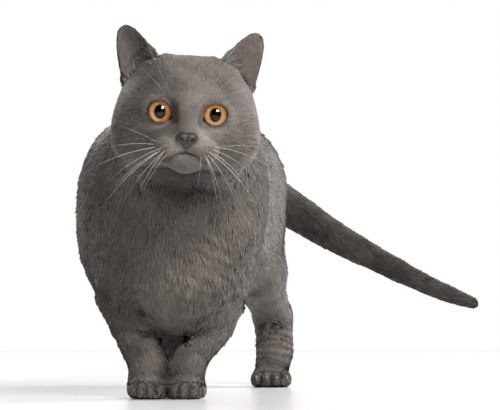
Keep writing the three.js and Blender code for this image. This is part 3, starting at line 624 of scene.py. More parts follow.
def ear_leaf(side):
    """The places of an ear's rings in the head's measure. Each ring goes over the back and returns inside."""
    up = EAR_TIP - EAR_BASE
    height = np.linalg.norm(up)
    up = up / height
    across = EAR_OUTER - EAR_INNER - ((EAR_OUTER - EAR_INNER) @ up) * up
    across = across / np.linalg.norm(across)
    front = np.cross(across, up)
    v = 1 - (1 - np.arange(EAR_ROWS + 1) / EAR_ROWS) ** 1.6 * 1.3
    v[-1] = 1 - 0.002
    share = np.clip(v, 0, 1)
    width = np.minimum(EAR_WIDTH * np.maximum((1 - v) * height, 0.02) ** EAR_ROUND, EAR_WIDEST)
    curl = np.radians(EAR_CUP[0] + (EAR_CUP[1] - EAR_CUP[0]) * share)
    thick = EAR_THICKNESS[0] + (EAR_THICKNESS[1] - EAR_THICKNESS[0]) * share
    u = np.linspace(-1, 1, EAR_COLUMNS + 1)
    u = np.concatenate([u, u[::-1][1:-1]])[None, :]
    out = np.concatenate([np.full(EAR_COLUMNS + 1, -1), np.full(EAR_COLUMNS - 1, 1)])[None, :]
    curl, width, thick, v = (x[:, None] for x in (curl, width, thick, v))
    rim = np.sqrt(np.maximum(1 - u ** 4, 0))
    thin = out * thick * rim / 2
    forwards = width * (1 - np.cos(curl * u)) / np.sin(curl) - width * np.tan(curl / 2) / 2 - thin * np.cos(curl * u)
    sideways = width * np.sin(curl * u) / np.sin(curl) + thin * np.sin(curl * u)
    places = EAR_BASE + (v * height)[..., None] * up + sideways[..., None] * across + forwards[..., None] * front
    return places * [side, 1, 1]


def add_ear(side):
    rings = ear_leaf(side)
    rows, around = rings.shape[:2]
    faces = [(r * around + i, r * around + (i + 1) % around, (r + 1) * around + (i + 1) % around, (r + 1) * around + i)
             for r in range(rows - 1) for i in range(around)]
    faces += [tuple(range(around))[::-1], tuple(range((rows - 1) * around, rows * around))]
    mesh = bpy.data.meshes.new("ear")
    mesh.from_pydata(from_head(rings.reshape(-1, 3)).tolist(), [], faces)
    ear = bpy.data.objects.new("ear", mesh)
    bpy.context.collection.objects.link(ear)
    only(ear)
    bpy.ops.object.mode_set(mode="EDIT")
    bpy.ops.mesh.select_all(action="SELECT")
    bpy.ops.mesh.normals_make_consistent(inside=False)
    bpy.ops.object.mode_set(mode="OBJECT")
    union = skin.modifiers.new("ear_root", "BOOLEAN")
    union.operation, union.solver, union.object = "UNION", "EXACT", ear
    only(skin)
    bpy.ops.object.modifier_apply(modifier=union.name)
    bpy.data.objects.remove(ear)


for side in (1, -1):
    add_ear(side)
co, edges = points_of(skin.data), edges_of(skin.data)
h = to_head(co)
ear_root = smooth(11, 5, np.abs(head_form(h))) * smooth(10, 18, h[:, 2]) * smooth(10, 18, np.abs(h[:, 0]))
co = filled(skin.data, edges, ear_root, 30)
set_points(skin.data, eased(co, edges, 0.6 * ear_root, 3))
print("skin with ears:", len(skin.data.polygons), "faces")


# %% [markdown]
# ## Lids, mouth and nose bed
# A cat's lids hug the eyeball, so here every point of skin near an eye is placed by its distance from the eye's
# centre: inside the opening it goes behind the glass, and outside it lies just over the glass and then runs out
# to the face. The points next to the opening's outline are moved onto it first, which gives a clean rim.

# %% The lids
OPENING = (9.5, 8.6)  # half width and half height of the opening, in mm
OPENING_SLANT, GAZE_OUTWARDS = 14, 4  # degrees: the outer corner's lift, and the gaze away from straight ahead
SOCKET_DEPTH, LID_RADIUS = 2.5, 12.1  # the socket's floor lies behind the iris, and the lids over the glass
LID_REACH = 1.85  # where the lids have run out into the face, over the size of the opening


def eye_axes(side):
    """The way to the temple, up along the lids, and out along the gaze, for side 1 (left) or -1 (right)."""
    out, tilt = math.radians(GAZE_OUTWARDS), math.radians(OPENING_SLANT)
    across = np.array([math.cos(out) * side, math.sin(out), 0])
    up = np.array([0, 0, 1.0])
    return (across * math.cos(tilt) + up * math.sin(tilt), up * math.cos(tilt) - across * math.sin(tilt),
            np.array([math.sin(out) * side, -math.cos(out), 0]))


def opening_reach(a, b):
    """1 on the outline of the opening, less inside. The inner corner is drawn out into a small notch."""
    angle = np.arctan2(b, -a)
    notch = 0.24 * np.exp(-((angle + 0.3) / 0.3) ** 2) + 0.05 * np.exp(-((np.abs(angle) - math.pi) / 0.4) ** 2)
    return np.hypot(a / OPENING[0], b / OPENING[1]) / (1 + notch)


def eye_place(h, side):
    """Places in the eye's own measure: to the temple, up, out, and how far outside the opening they are."""
    local = (h - EYE_CENTRE * [side, 1, 1]) @ np.stack(eye_axes(side), 1)
    reach = opening_reach(local[:, 0], local[:, 1])
    return local, np.where((local[:, 2] > 0) & (np.linalg.norm(local, axis=1) < 30), reach, 9)


def shape_lids(h, edges):
    for side in (1, -1):
        local, reach = eye_place(h, side)
        a, b = edges.T
        crossing = (reach[a] - 1) * (reach[b] - 1) < 0
        a, b = a[crossing], b[crossing]
        rim = np.unique(np.where(np.abs(reach[a] - 1) < np.abs(reach[b] - 1), a, b))
        local[rim, :2] /= reach[rim, None]
        reach[rim] = 1
        near = reach < LID_REACH
        here, q = local[near], reach[near]
        lid = (LID_RADIUS + 0.6 * smooth(1.0, 1.15, q)) ** 2 - np.sum(here[:, :2] ** 2, axis=1)
        lid, face = np.sqrt(np.maximum(lid, 6.6 ** 2)), smooth(1.02, LID_REACH, q)
        local[near, 2] = np.where(q < 1, SOCKET_DEPTH, lid * (1 - face) + here[:, 2] * face)
        h = np.where(near[:, None], local @ np.stack(eye_axes(side), 1).T + EYE_CENTRE * [side, 1, 1], h)
    return h


co, edges = points_of(skin.data), edges_of(skin.data)
h = shape_lids(to_head(co), edges)
print("lids shaped round", 2, "eyes")

# %% The mouth, the groove over it, and the nose's bed
MOUTH_LINE = [(0, -24.2), (4.5, -25.2), (9, -27.2), (13, -30.2), (15.4, -34.5)]
PHILTRUM = [(0, -17), (0, -24.2)]


def line_distance(x, z, line):
    """Distance in the face's plane from a line of points, on both sides of the face."""
    p = np.stack([np.abs(x), z], 1)
    nearest = np.full(len(p), 1e3)
    for start, end in zip(line, line[1:]):
        start, along = np.array(start), np.subtract(end, start)
        t = np.clip((p - start) @ along / (along @ along), 0, 1)
        nearest = np.minimum(nearest, np.linalg.norm(p - start - t[:, None] * along, axis=1))
    return nearest


def groove(h, line, width):
    front = smooth(-42, -48, h[:, 1])
    return front * np.exp(-(line_distance(h[:, 0], h[:, 2], line) / width) ** 2)


out = slope(head_form, h)
mouth, philtrum = groove(h, MOUTH_LINE, 1.5), groove(h, PHILTRUM, 0.9)
h = h - out * (2.4 * mouth + 1.0 * philtrum)[:, None]
co = from_head(h)
set_points(skin.data, co)
bpy.ops.object.select_all(action="DESELECT")
print("deepest point of the mouth line:", round(2.4 * mouth.max(), 1), "mm")

# %% [markdown]
# ## The skin's unwrap
# An unwrap cuts the skin into islands that lie flat without overlapping. The coat shares it: each tuft gets a
# small patch of the map where its root stands.

# %% Unwrap
only(skin)
bpy.ops.object.mode_set(mode="EDIT")
bpy.ops.mesh.select_all(action="SELECT")
bpy.ops.uv.smart_project(angle_limit=math.radians(72), island_margin=0.002, area_weight=0.5)
bpy.ops.object.mode_set(mode="OBJECT")
skin.data.uv_layers[0].name = "OFBake"
bpy.ops.object.shade_smooth()
print("unwrapped", len(skin.data.loops), "corners")


# %% [markdown]
# ## Markings, and painted shade
# A blue coat is one colour, but never one tone: the tail and the temples are darker, the muzzle and the skin
# under the eyes lighter, and there are soft clouds all over. The same function paints shade too: the chin's
# shadow on the throat, and darker lines where the forelegs meet and between the toes. It gives the tone at any
# place, and both the skin and the coat ask it, so they agree.

# %% Tone of the coat at a place, with painted shade
def clouds(p, size, seed):
    """Soft noise between about -1 and 1, in patches of the given size."""
    dice = np.random.default_rng(seed)
    total = np.zeros(len(p))
    for _ in range(7):
        way = dice.normal(size=3)
        way *= 2 * math.pi / (size * dice.uniform(0.7, 1.6)) / np.linalg.norm(way)
        total += np.sin(p @ way + dice.uniform(0, 2 * math.pi))
    return total / 3.2


WHISKER_SPOTS = [(13 + 3.4 * k + 0.8 * row, -17.6 - 2.9 * row - 0.25 * k) for row in range(4) for k in range(4 - row // 3)]


def between_forelegs(p):
    """1 along the line where the two forelegs touch, seen from the front."""
    return np.exp(-((p[:, 0] - FORELEGS_MEET) / 3) ** 2) * smooth(66, 46, p[:, 2]) * smooth(-96, -108, p[:, 1])


def tone_and_shade(co):
    """0 for the darkest coat, 1 for the palest. Painted shade is taken off under the chin, where the forelegs meet and
    between the toes.
    """
    p, h = co / MM, to_head(co)
    x = np.abs(h[:, 0])
    on_face = smooth(-20, -34, h[:, 1])
    found = 0.5 + 0.05 * clouds(p, 60, 11) + 0.05 * clouds(p, 17, 12)
    found -= 0.44 * smooth(150, 230, p[:, 1] + 0.6 * p[:, 0])  # tail
    below = h[:, 2] - 0.13 * (h[:, 1] + 45)
    chin_shadow = smooth(-32, -40, below) * smooth(-84, -54, below) * smooth(-36, -26, h[:, 1])
    # painted shadow of the chin, darkening the throat under the jaw
    found -= 0.48 * chin_shadow * smooth(70, 40, h[:, 1]) * np.exp(-(x / 36) ** 2)  # throat
    # painted shade where the two forelegs meet
    found -= 0.4 * between_forelegs(p)
    # painted shade in the grooves between the toes and along the arch over them
    found -= 0.4 * toe_grooves(co)
    found -= 0.1 * on_face * smooth(24, 44, x)  # cheeks
    found += 0.3 * on_face * np.exp(-((x - 12) / 9) ** 2 - ((h[:, 2] + 16) / 9) ** 2)  # muzzle
    found += 0.22 * on_face * np.exp(-((x - 23) / 9) ** 2 - ((h[:, 2] + 4.5) / 3.2) ** 2)  # under the eyes
    found -= 0.2 * np.exp(-((x - 27) / 8) ** 2 - ((h[:, 2] - 32) / 11) ** 2) * smooth(10, -10, h[:, 1])  # temples
    found += 0.08 * on_face * np.exp(-(x / 9) ** 2 - ((h[:, 2] - 28) / 20) ** 2)  # forehead
    for across, up in WHISKER_SPOTS:
        found -= 0.3 * on_face * np.exp(-((x - across) ** 2 + (h[:, 2] - up) ** 2) / 0.9 ** 2)
    return np.clip(found, 0, 1)


def coat_colour(tree, along, tuft, tone_and_shade_here):
    """The coat's colour: darker towards the roots as painted shade within the coat, paler at the tips, a little
    different from tuft to tuft.
    """
    base = ramp(tree, tone_and_shade_here, (0.0, 0x302B28), (0.5, 0x69625D), (1.0, 0x9E968F))
    # painted shade deep in the coat: the roots darker, the tips paler
    depth = node(tree, "MapRange", {"Value": along, "To Min": 0.74, "To Max": 1.1})
    spread = node(tree, "MapRange", {"Value": tuft, "To Min": 0.6, "To Max": 1.4})
    both = node(tree, "Math", {0: depth.outputs["Result"], 1: spread.outputs["Result"]}, operation="MULTIPLY")
    mixed = node(tree, "VectorMath", {0: base}, operation="SCALE")
    tree.links.new(both.outputs["Value"], mixed.inputs["Scale"])
    return mixed.outputs["Vector"]


def set_colours(mesh, name, *channels):
    """Keeps up to three numbers for each point of a mesh as a colour attribute."""
    layer = mesh.color_attributes.new(name, "FLOAT_COLOR", "POINT")
    values = np.ones((len(mesh.vertices), 4), np.float32)
    for k, channel in enumerate(channels):
        values[:, k] = channel
    layer.data.foreach_set("color", values.ravel())


# %% Bare places of the skin
def bare_places(co, normals):
    """How dark and hairless the skin is (lid rims, mouth), the insides of the ears, and the painted shade deep in them.
    """
    h = to_head(co)
    dark = 0.9 * groove(h, MOUTH_LINE, 1.0) + 0.7 * groove(h, PHILTRUM, 0.8)
    for side in (1, -1):
        _, reach = eye_place(h, side)
        dark = np.maximum(dark, smooth(1.15, 1.05, reach))
    inwards = smooth(0.1, 0.35, (normals @ head_axes) @ np.array([0, -1, 0]))
    inside = ear_share(h) * inwards
    return np.clip(dark, 0, 1), inside, inside * smooth(58, 40, h[:, 2] + 0.2 * np.abs(h[:, 0]))


normals = normals_of(skin.data)
dark, inner_ear, ear_shade = bare_places(co, normals)
set_colours(skin.data, "strand", 0.35, 0.5, tone_and_shade(co))
set_colours(skin.data, "bare", dark, inner_ear, ear_shade)


def cat_skin(tree):
    """Skin under a dense undercoat: dull, and darkened by the coat's painted root shade, with bare slate rims, and ears
    that are pinkish inside with painted shade in their depths.
    """
    strand = node(tree, "SeparateColor", {"Color": node(tree, "Attribute", attribute_name="strand").outputs["Color"]})
    bare = node(tree, "SeparateColor", {"Color": node(tree, "Attribute", attribute_name="bare").outputs["Color"]})
    place = node(tree, "TexCoord").outputs["Object"]
    grain = node(tree, "TexNoise", {"Vector": place, "Scale": 900, "Detail": 3}).outputs["Fac"]  # about 1 mm
    under = coat_colour(tree, strand.outputs["Red"], grain, strand.outputs["Blue"])
    ear = ramp(tree, grain, (0.3, 0x564A48), (0.7, 0x6F605D))
    # painted shade in the depths of the ears
    deep = node(tree, "Mix", {"Factor": bare.outputs["Blue"], "A": ear, "B": linear(0x2C2422)}, data_type="RGBA")
    with_ear = node(tree, "Mix", {"Factor": bare.outputs["Green"], "A": under, "B": deep.outputs["Result"]},
                    data_type="RGBA")
    rim = node(tree, "Mix", {"Factor": bare.outputs["Red"], "A": with_ear.outputs["Result"],
                             "B": linear(0x211C1A)}, data_type="RGBA")
    bump = node(tree, "Bump", {"Height": grain, "Strength": 0.4, "Distance": 0.0006})
    return node(tree, "BsdfPrincipled", {"Base Color": rim.outputs["Result"], "Roughness": 0.62,
                                         "Normal": bump.outputs["Normal"]})


skin.data.materials.append(finish("cat_skin", cat_skin))
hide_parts(*FLESH)
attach(skin, "root")
print("skin finished")

# %% [markdown]
# ## Glass eyes
# A museum's eyes are glass: a clear ball with a bulge in front, and the iris painted on a dish behind it. The
# same is done here, so that the pupil lies deep and the bulge catches the light of the soft box.

# %% Eye shapes
IRIS_RADIUS, IRIS_DEPTH = 9.35, 6.0  # how wide the iris is, and how far in front of the eye's centre
PUPIL = (3.6, 4.5)  # half width and half height
GLOBE_RADIUS = 11.1
GLASS_RADIUS, BULGE = 11.3, 1.1  # and how much longer the glass is to the front
PUPIL_RINGS, IRIS_RINGS, BALL_RINGS, SPOKES = 4, 8, 32, 64


def eye_ball(name, radius):
    """A ball with its pole along +Z, whose points are then moved in code."""
    bpy.ops.object.select_all(action="DESELECT")
    bpy.ops.mesh.primitive_uv_sphere_add(segments=SPOKES, ring_count=BALL_RINGS, radius=radius)
    piece = bpy.context.object
    piece.name = piece.data.name = name
    return piece


def set_into_head(piece, side):
    """Turns a ball's pole along the gaze, with its Y up in the head, and puts it in its socket."""
    _, _, gaze = eye_axes(side)
    up = np.array([0, 0, 1.0])
    across = np.cross(up, gaze)
    local = points_of(piece.data) @ np.stack([across, up, gaze])
    set_points(piece.data, from_head(local + EYE_CENTRE * [side, 1, 1]))
    piece.data.update()


def painted_globe(name, side):
    piece = eye_ball(name, 1)
    p = points_of(piece.data)
    ring = np.round(np.arccos(np.clip(p[:, 2], -1, 1)) * BALL_RINGS / math.pi)
    turn = np.arctan2(p[:, 1], p[:, 0])
    pupil = 1 / np.hypot(np.cos(turn) / PUPIL[0], np.sin(turn) / PUPIL[1])
    t = (ring - PUPIL_RINGS) / IRIS_RINGS
    rim = PUPIL_RINGS + IRIS_RINGS
    flat = np.where(ring <= PUPIL_RINGS, pupil * ring / PUPIL_RINGS, pupil + (IRIS_RADIUS - pupil) * t)
    edge = math.asin(IRIS_RADIUS / GLOBE_RADIUS)
    polar = edge + (math.pi - edge) * (ring - rim) / (BALL_RINGS - rim)
    on_ball = ring > rim
    flat = np.where(on_ball, GLOBE_RADIUS * np.sin(polar), flat)
    dish = IRIS_DEPTH - 0.9 * (1 - (flat / IRIS_RADIUS) ** 2) - 0.8 * (ring < PUPIL_RINGS)
    depth = np.where(on_ball, GLOBE_RADIUS * np.cos(polar), dish)
    set_points(piece.data, np.stack([flat * np.cos(turn), flat * np.sin(turn), depth], 1))
    set_colours(piece.data, "iris", np.clip(t, 0, 1), 0.5 + 0.5 * np.cos(turn), 0.5 + 0.5 * np.sin(turn))
    faces = piece.data.polygons
    centre_ring = np.array([np.mean(ring[list(face.vertices)]) for face in faces])
    for slot, finish_name in enumerate(("pupil_black", "iris_copper", "globe_dark")):
        piece.data.materials.append(EYE_FINISHES[finish_name])
    index = np.where(centre_ring < PUPIL_RINGS, 0, np.where(centre_ring < rim, 1, 2))
    faces.foreach_set("material_index", index.astype(np.int32))
    set_into_head(piece, side)
    return piece


def glass_front(name, side):
    piece = eye_ball(name, GLASS_RADIUS)
    p = points_of(piece.data)
    p[:, 2] *= np.where(p[:, 2] > 0, BULGE, 1)
    set_points(piece.data, p)
    piece.data.materials.append(EYE_FINISHES["eye_glass"])
    set_into_head(piece, side)
    return piece


# %% Eye finishes
def pupil_black(tree):
    return node(tree, "BsdfPrincipled", {"Base Color": linear(0x030303), "Roughness": 1.0, "Specular IOR Level": 0.0})


def iris_copper(tree):
    """Painted copper: fine spokes, brighter by the pupil, with a dark brown rim."""
    place = node(tree, "SeparateColor", {"Color": node(tree, "Attribute", attribute_name="iris").outputs["Color"]})
    squeezed = node(tree, "Math", {0: place.outputs["Red"], 1: 0.12}, operation="MULTIPLY").outputs["Value"]
    where = node(tree, "CombineXYZ", {"X": place.outputs["Green"], "Y": place.outputs["Blue"], "Z": squeezed})
    spokes = node(tree, "TexNoise", {"Vector": where.outputs["Vector"], "Scale": 34, "Detail": 4}).outputs["Fac"]
    rings = ramp(tree, place.outputs["Red"], (0.0, 0x6A3E14), (0.07, 0xD08A38), (0.3, 0xE3A355),
                 (0.66, 0xCE8A3E), (0.84, 0x8A4F20), (0.95, 0x2A1509))
    streak = node(tree, "MapRange", {"Value": spokes, "From Min": 0.3, "From Max": 0.7, "To Min": 0.72, "To Max": 1.25})
    mixed = node(tree, "VectorMath", {0: rings}, operation="SCALE")
    tree.links.new(streak.outputs["Result"], mixed.inputs["Scale"])
    return node(tree, "BsdfPrincipled", {"Base Color": mixed.outputs["Vector"], "Roughness": 0.45})


def globe_dark(tree):
    return node(tree, "BsdfPrincipled", {"Base Color": linear(0x1E1009), "Roughness": 0.3})


def eye_glass(tree):
    """Clear crown glass, as a taxidermist's eye is made of."""
    return node(tree, "BsdfPrincipled", {"Base Color": (1, 1, 1, 1), "Roughness": 0.0, "IOR": 1.47,
                                         "Transmission Weight": 1.0})


EYE_FINISHES = {build.__name__: finish(build.__name__, build)
                for build in (pupil_black, iris_copper, globe_dark, eye_glass)}

# %% Set the eyes
for side, name in ((1, "eye_left"), (-1, "eye_right")):
    globe = painted_globe(name + "_painted", side)
    glass = glass_front(name + "_glass", side)
    for piece in (globe, glass):
        only(piece)
        bpy.ops.object.shade_smooth()
        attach(piece, "root")
    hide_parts(name)
print("eyes set", EYE_CENTRE[0] * 2, "mm apart")

# %% [markdown]
# ## Nose leather
# A cat's nose leather is a small bare cushion: two wings with comma-shaped nostrils and a groove down the
# middle. A ball of many faces is cast onto that form, and the nostrils are pressed in.

# %% The nose
WING, NOSE_TAIL, NOSE_TOP = np.array([4.3, -67.2, -12.2]), np.array([0, -65.6, -17.6]), np.array([0, -67, -11.2])
NOSTRIL, NOSTRIL_SLANT = np.array([4.9, -72, -13.8]), 35
NOSE_MIDDLE = np.array([0, -66, -13.8])


def nose_form(p):
    m = p * 1.0
    m[:, 0] = np.abs(m[:, 0])
    return blend(4, egg(m, WING, [4.7, 5.0, 4.0]), egg(p, NOSE_TAIL, [3.2, 3.8, 3.4]), egg(p, NOSE_TOP, [5.5, 4.6, 3.2]))


bpy.ops.object.select_all(action="DESELECT")
bpy.ops.mesh.primitive_ico_sphere_add(subdivisions=6, radius=1)
nose = bpy.context.object
nose.name = nose.data.name = "nose_leather"
ways = points_of(nose.data)
near, far = np.zeros(len(ways)), np.full(len(ways), 16.0)
for _ in range(24):
    half = (near + far) / 2
    inside = nose_form(NOSE_MIDDLE + ways * half[:, None]) < 0
    near, far = np.where(inside, half, near), np.where(inside, far, half)
h = NOSE_MIDDLE + ways * near[:, None]
slant = math.radians(NOSTRIL_SLANT)
dx, dz = np.abs(h[:, 0]) - NOSTRIL[0], h[:, 2] - NOSTRIL[2]
along, over = dx * math.cos(slant) + dz * math.sin(slant), dz * math.cos(slant) - dx * math.sin(slant)
nostril = np.exp(-(along / 2.3) ** 2 - (over / 0.85) ** 2) * smooth(-68, -70, h[:, 1])
middle_groove = np.exp(-(h[:, 0] / 0.45) ** 2) * smooth(-11, -15, h[:, 2]) * smooth(-66, -68, h[:, 1])
h = h - slope(nose_form, h) * (2.2 * nostril + 0.5 * middle_groove)[:, None]
set_points(nose.data, from_head(h))
set_colours(nose.data, "nostril", nostril, middle_groove, 0)


def nose_leather(tree):
    """Bare, slightly moist skin with a fine pebble grain of about 0.4 mm, with painted shade in the nostrils and in the
    cracks between the pebbles.
    """
    dark = node(tree, "SeparateColor", {"Color": node(tree, "Attribute", attribute_name="nostril").outputs["Color"]})
    place = node(tree, "TexCoord").outputs["Object"]
    pebbles = node(tree, "TexVoronoi", {"Vector": place, "Scale": 1900}).outputs["Distance"]
    # painted shade: the leather is darker in the cracks between the pebbles, where the bump is low
    leather_with_shaded_cracks = ramp(tree, pebbles, (0.0, 0x3D3837), (1.0, 0x2B2726))
    # painted shade: the nostrils near black
    shade = node(tree, "Mix", {"Factor": dark.outputs["Red"], "A": leather_with_shaded_cracks, "B": linear(0x0C0A0A)}, data_type="RGBA")
    bump = node(tree, "Bump", {"Height": pebbles, "Strength": 0.5, "Distance": 0.0002}, invert=True)
    return node(tree, "BsdfPrincipled", {"Base Color": shade.outputs["Result"], "Roughness": 0.42,
                                         "Normal": bump.outputs["Normal"]})


nose.data.materials.append(finish("nose_leather", nose_leather))
only(nose)
bpy.ops.object.shade_smooth()
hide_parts("nose")
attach(nose, "root")
print("nose:", len(nose.data.polygons), "faces")

# %% [markdown]
# ## Claws
# The claws' own solids are right as they are, so they stay and get the finish of horn: pale, waxy and a little
# see-through at the edge.

# %% Horn
def claw_horn(tree):
    place = node(tree, "TexCoord").outputs["Object"]
    grain = node(tree, "TexNoise", {"Vector": place, "Scale": 1500, "Detail": 2}).outputs["Fac"]
    colour = ramp(tree, grain, (0.3, 0x756C61), (0.7, 0x94897B))
    return node(tree, "BsdfPrincipled", {"Base Color": colour, "Roughness": 0.3, "Subsurface Weight": 0.15,
                                         "Subsurface Scale": 0.001})


horn = finish("claw_horn", claw_horn)
for name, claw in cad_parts.items():
    if name.startswith("claw"):
        claw.data.materials.clear()
        claw.data.materials.append(horn)
print("claws:", len([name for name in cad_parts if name.startswith("claw")]))

# %% [markdown]
# ## Whiskers
# Each whisker is a tapering tube along a bowed line, from a row of spots on the muzzle out to where its end
# lies. A few shorter ones stand over the eyes.

# %% Whiskers
# root (x, z) and end (x, y, z) in the head's measure, and the thickness at the root; all in mm
WHISKERS = [
    ((-24, -21), (-82, -46, -46.5), 0.62), ((-20, -23), (-65, -58, -72), 0.62), ((-22, -24.5), (-56, -60, -56), 0.6),
    ((-18, -25), (-39.5, -64, -67.6), 0.56), ((-25, -19), (-69, -44, -26), 0.56), ((-24, -17), (-56, -52, -6), 0.36),
    ((-19, -21), (-60, -66, -50), 0.5), ((-16.5, -23), (-48, -68, -66), 0.5), ((-15, -26), (-33, -66, -58), 0.44),
    ((20, -20), (51, -60, -35.6), 0.6), ((18, -22), (63.7, -52, -67.6), 0.62), ((17, -24), (43.7, -62, -63), 0.56),
    ((15.5, -25), (31.7, -66, -64.5), 0.52), ((14.5, -23), (27, -68, -62), 0.48), ((12, -25), (11, -62, -49), 0.4),
    ((21, -18), (66, -48, -30), 0.5), ((22, -23), (55, -54, -52), 0.5), ((23, -19), (60, -50, -16), 0.36),
    ((-15, 23), (-31, -58, 50), 0.22), ((-18, 22), (-44, -54, 44), 0.22), ((15, 23), (30, -58, 51), 0.22),
    ((18, 22), (43, -54, 45), 0.22),
] + [((side * x, z), (side * (x + reach), -10, z + lift), 0.24) for side in (-1, 1)
     for x, z, reach, lift in ((25, 47, 14, 9), (27, 49, 13, 12), (29, 52, 10, 14), (28, 45, 17, 6), (31, 55, 9, 14))]
WHISKER_STEPS, WHISKER_SIDES = 10, 5


def whisker_line(root, end):
    """Points from the skin to the end, bowed forwards and upwards, as a stiff hair springs out and sags."""
    start = np.array([root[0], -90, root[1]], float)
    hit = skin_tree.ray_cast(Vector(from_head(start)), Vector(head_axes @ [0, 1, 0]))[0]
    start = to_head(np.array([hit]))[0]
    end = np.array(end, float)
    span = np.linalg.norm(end - start)
    bow = (start + end) / 2 + np.array([0.04 * np.sign(root[0]), -0.13, 0.1]) * span
    t = np.linspace(0, 1, WHISKER_STEPS + 1)[:, None]
    return (1 - t) ** 2 * start + 2 * t * (1 - t) * bow + t ** 2 * end


def tube(line, thickness):
    """A closed tapering tube's places, ring after ring, ending in a point."""
    along = unit(np.gradient(line, axis=0))
    side = unit(np.cross(along, [0.0, 1.0, 0.2]))
    over = np.cross(side, along)
    turn = np.linspace(0, 2 * math.pi, WHISKER_SIDES, endpoint=False)
    radius = 0.19 * thickness * (1 - 0.85 * np.linspace(0, 1, len(line)) ** 1.3)
    ring = np.cos(turn)[None, :, None] * side[:, None] + np.sin(turn)[None, :, None] * over[:, None]
    return (line[:, None] + ring * radius[:, None, None]).reshape(-1, 3)


co = points_of(skin.data)
skin.data.calc_loop_triangles()
skin_tree = BVHTree.FromPolygons(co.tolist(), [list(face.vertices) for face in skin.data.loop_triangles])
n = WHISKER_SIDES
strip = [(r * n + i, r * n + (i + 1) % n, (r + 1) * n + (i + 1) % n, (r + 1) * n + i)
         for r in range(WHISKER_STEPS) for i in range(n)]
strip += [tuple(range(n))[::-1], tuple(range(WHISKER_STEPS * n, (WHISKER_STEPS + 1) * n))]
places, faces = [], []
for root, end, thickness in WHISKERS:
    faces += [[corner + len(places) * n * (WHISKER_STEPS + 1) for corner in face] for face in strip]
    places.append(tube(whisker_line(root, end), thickness))
whisker_mesh = bpy.data.meshes.new("whiskers")
whisker_mesh.from_pydata(from_head(np.concatenate(places)).tolist(), [], faces)
whiskers = bpy.data.objects.new("whiskers", whisker_mesh)
bpy.context.collection.objects.link(whiskers)


def whisker_white(tree):
    return node(tree, "BsdfPrincipled", {"Base Color": linear(0xF1EEE8), "Roughness": 0.35})


whisker_mesh.materials.append(finish("whisker_white", whisker_white))
only(whiskers)
bpy.ops.object.shade_smooth()
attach(whiskers, "root")
print("whiskers:", len(WHISKERS))

# %% [markdown]
# ## The coat
# The coat is grown from the skin. Each tuft is a thin closed kite of four triangles: it rises from its root, is
# widest where it bends over along the lie, and ends in a point over the skin at the coat's depth. Short hair
# gets narrower and denser tufts. Soft noise turns the lie a little, so that the coat breaks as fur does.

# %% Where roots may stand
skin.data.calc_loop_triangles()
triangles = np.empty(len(skin.data.loop_triangles) * 3, np.int32)
skin.data.loop_triangles.foreach_get("vertices", triangles)
triangles = triangles.reshape(-1, 3)
corners = np.empty(len(skin.data.loop_triangles) * 3, np.int32)
skin.data.loop_triangles.foreach_get("loops", corners)
corners = corners.reshape(-1, 3)
skin_uv = np.empty(len(skin.data.loops) * 2, np.float32)
skin.data.uv_layers["OFBake"].uv.foreach_get("vector", skin_uv)
skin_uv = skin_uv.reshape(-1, 2).astype(float)

co, normals = points_of(skin.data), normals_of(skin.data)
lie, hair_length, coat_depth, region = coat_fields(co, normals)
a, b, c = (co[triangles[:, k]] for k in range(3))
area = np.linalg.norm(np.cross(b - a, c - a), axis=1) / 2 / MM ** 2  # in mm2
skin_tree = BVHTree.FromPolygons(co.tolist(), triangles.tolist())

# No tuft grows on bare rims, under the nose leather, and under the soles, and few grow inside the ears.
under_nose = egg(to_head(co), NOSE_MIDDLE + [0, -2, 1.2], [8.6, 9, 6.0]) < 0
sole = (co[:, 2] < 2.5 * MM) & (normals[:, 2] < -0.6)
growing = (1 - dark) * (1 - 0.85 * inner_ear) * ~under_nose * ~sole
print("skin under the coat:", round(area.sum() / 100), "cm2,", len(triangles), "triangles")

# %% Roots
TUFTS = 362000  # in all, of four triangles each
TUFTS_PER_PIECE = 48000
hair_width = 0.28 + 0.062 * hair_length  # mm
crowd = (growing / (hair_length * hair_width))[triangles].mean(1)
per_mm2 = crowd * TUFTS * 1 / (crowd @ area)


def scatter(chosen):
    """Random roots on the chosen triangles: which triangle, and where in it."""
    wanted = area[chosen] * per_mm2[chosen]
    index = np.repeat(chosen, np.floor(wanted + rng.random(len(wanted))).astype(int))
    u, v = rng.random(len(index)), rng.random(len(index))
    flip = u + v > 1
    u, v = np.where(flip, 1 - u, u), np.where(flip, 1 - v, v)
    return index, np.stack([1 - u - v, u, v], 1)


def at_roots(index, share, values):
    """Values kept for the skin's points, read at the roots."""
    return np.einsum("nk,nk...->n...", share, values[triangles[index]])


# %% The shape of a tuft
KITE = [(0, 2, 1), (3, 1, 2), (0, 1, 3), (0, 3, 2)]  # corners: root, left, right, tip
KITE_PATCH = np.array([(0, 0), (-1, 1), (1, 1), (0, 2)]) * 0.0015  # the same corners on the unwrap
ALONG = (0.0, 0.55, 0.55, 1.0)


def nearest_on_skin(points):
    found = [skin_tree.find_nearest(point)[:2] for point in points.tolist()]
    return np.array([f[0] for f in found]), np.array([f[1] for f in found])


def clumped(roots, ends, size, strength):
    """Draws the ends of neighbouring tufts together, towards the nearest of a jittered grid of centres."""
    cell = np.floor(roots / size).astype(int)
    nearest, gap = np.zeros_like(roots), np.full(len(roots), 1e9)
    for step in np.ndindex(3, 3, 3):
        corner = cell + np.array(step) - 1
        dice = np.sin(corner @ np.array([[12.9898, 39.346, 73.156], [78.233, 11.135, 52.235], [37.719, 83.155, 9.151]]).T)
        centre = (corner + 0.5 + 0.4 * np.sin(dice * 43758.5453)) * size
        distance = np.linalg.norm(centre - roots, axis=1)
        closer = distance < gap
        nearest[closer], gap = centre[closer], np.minimum(gap, distance)
    return ends + strength * (nearest - roots)


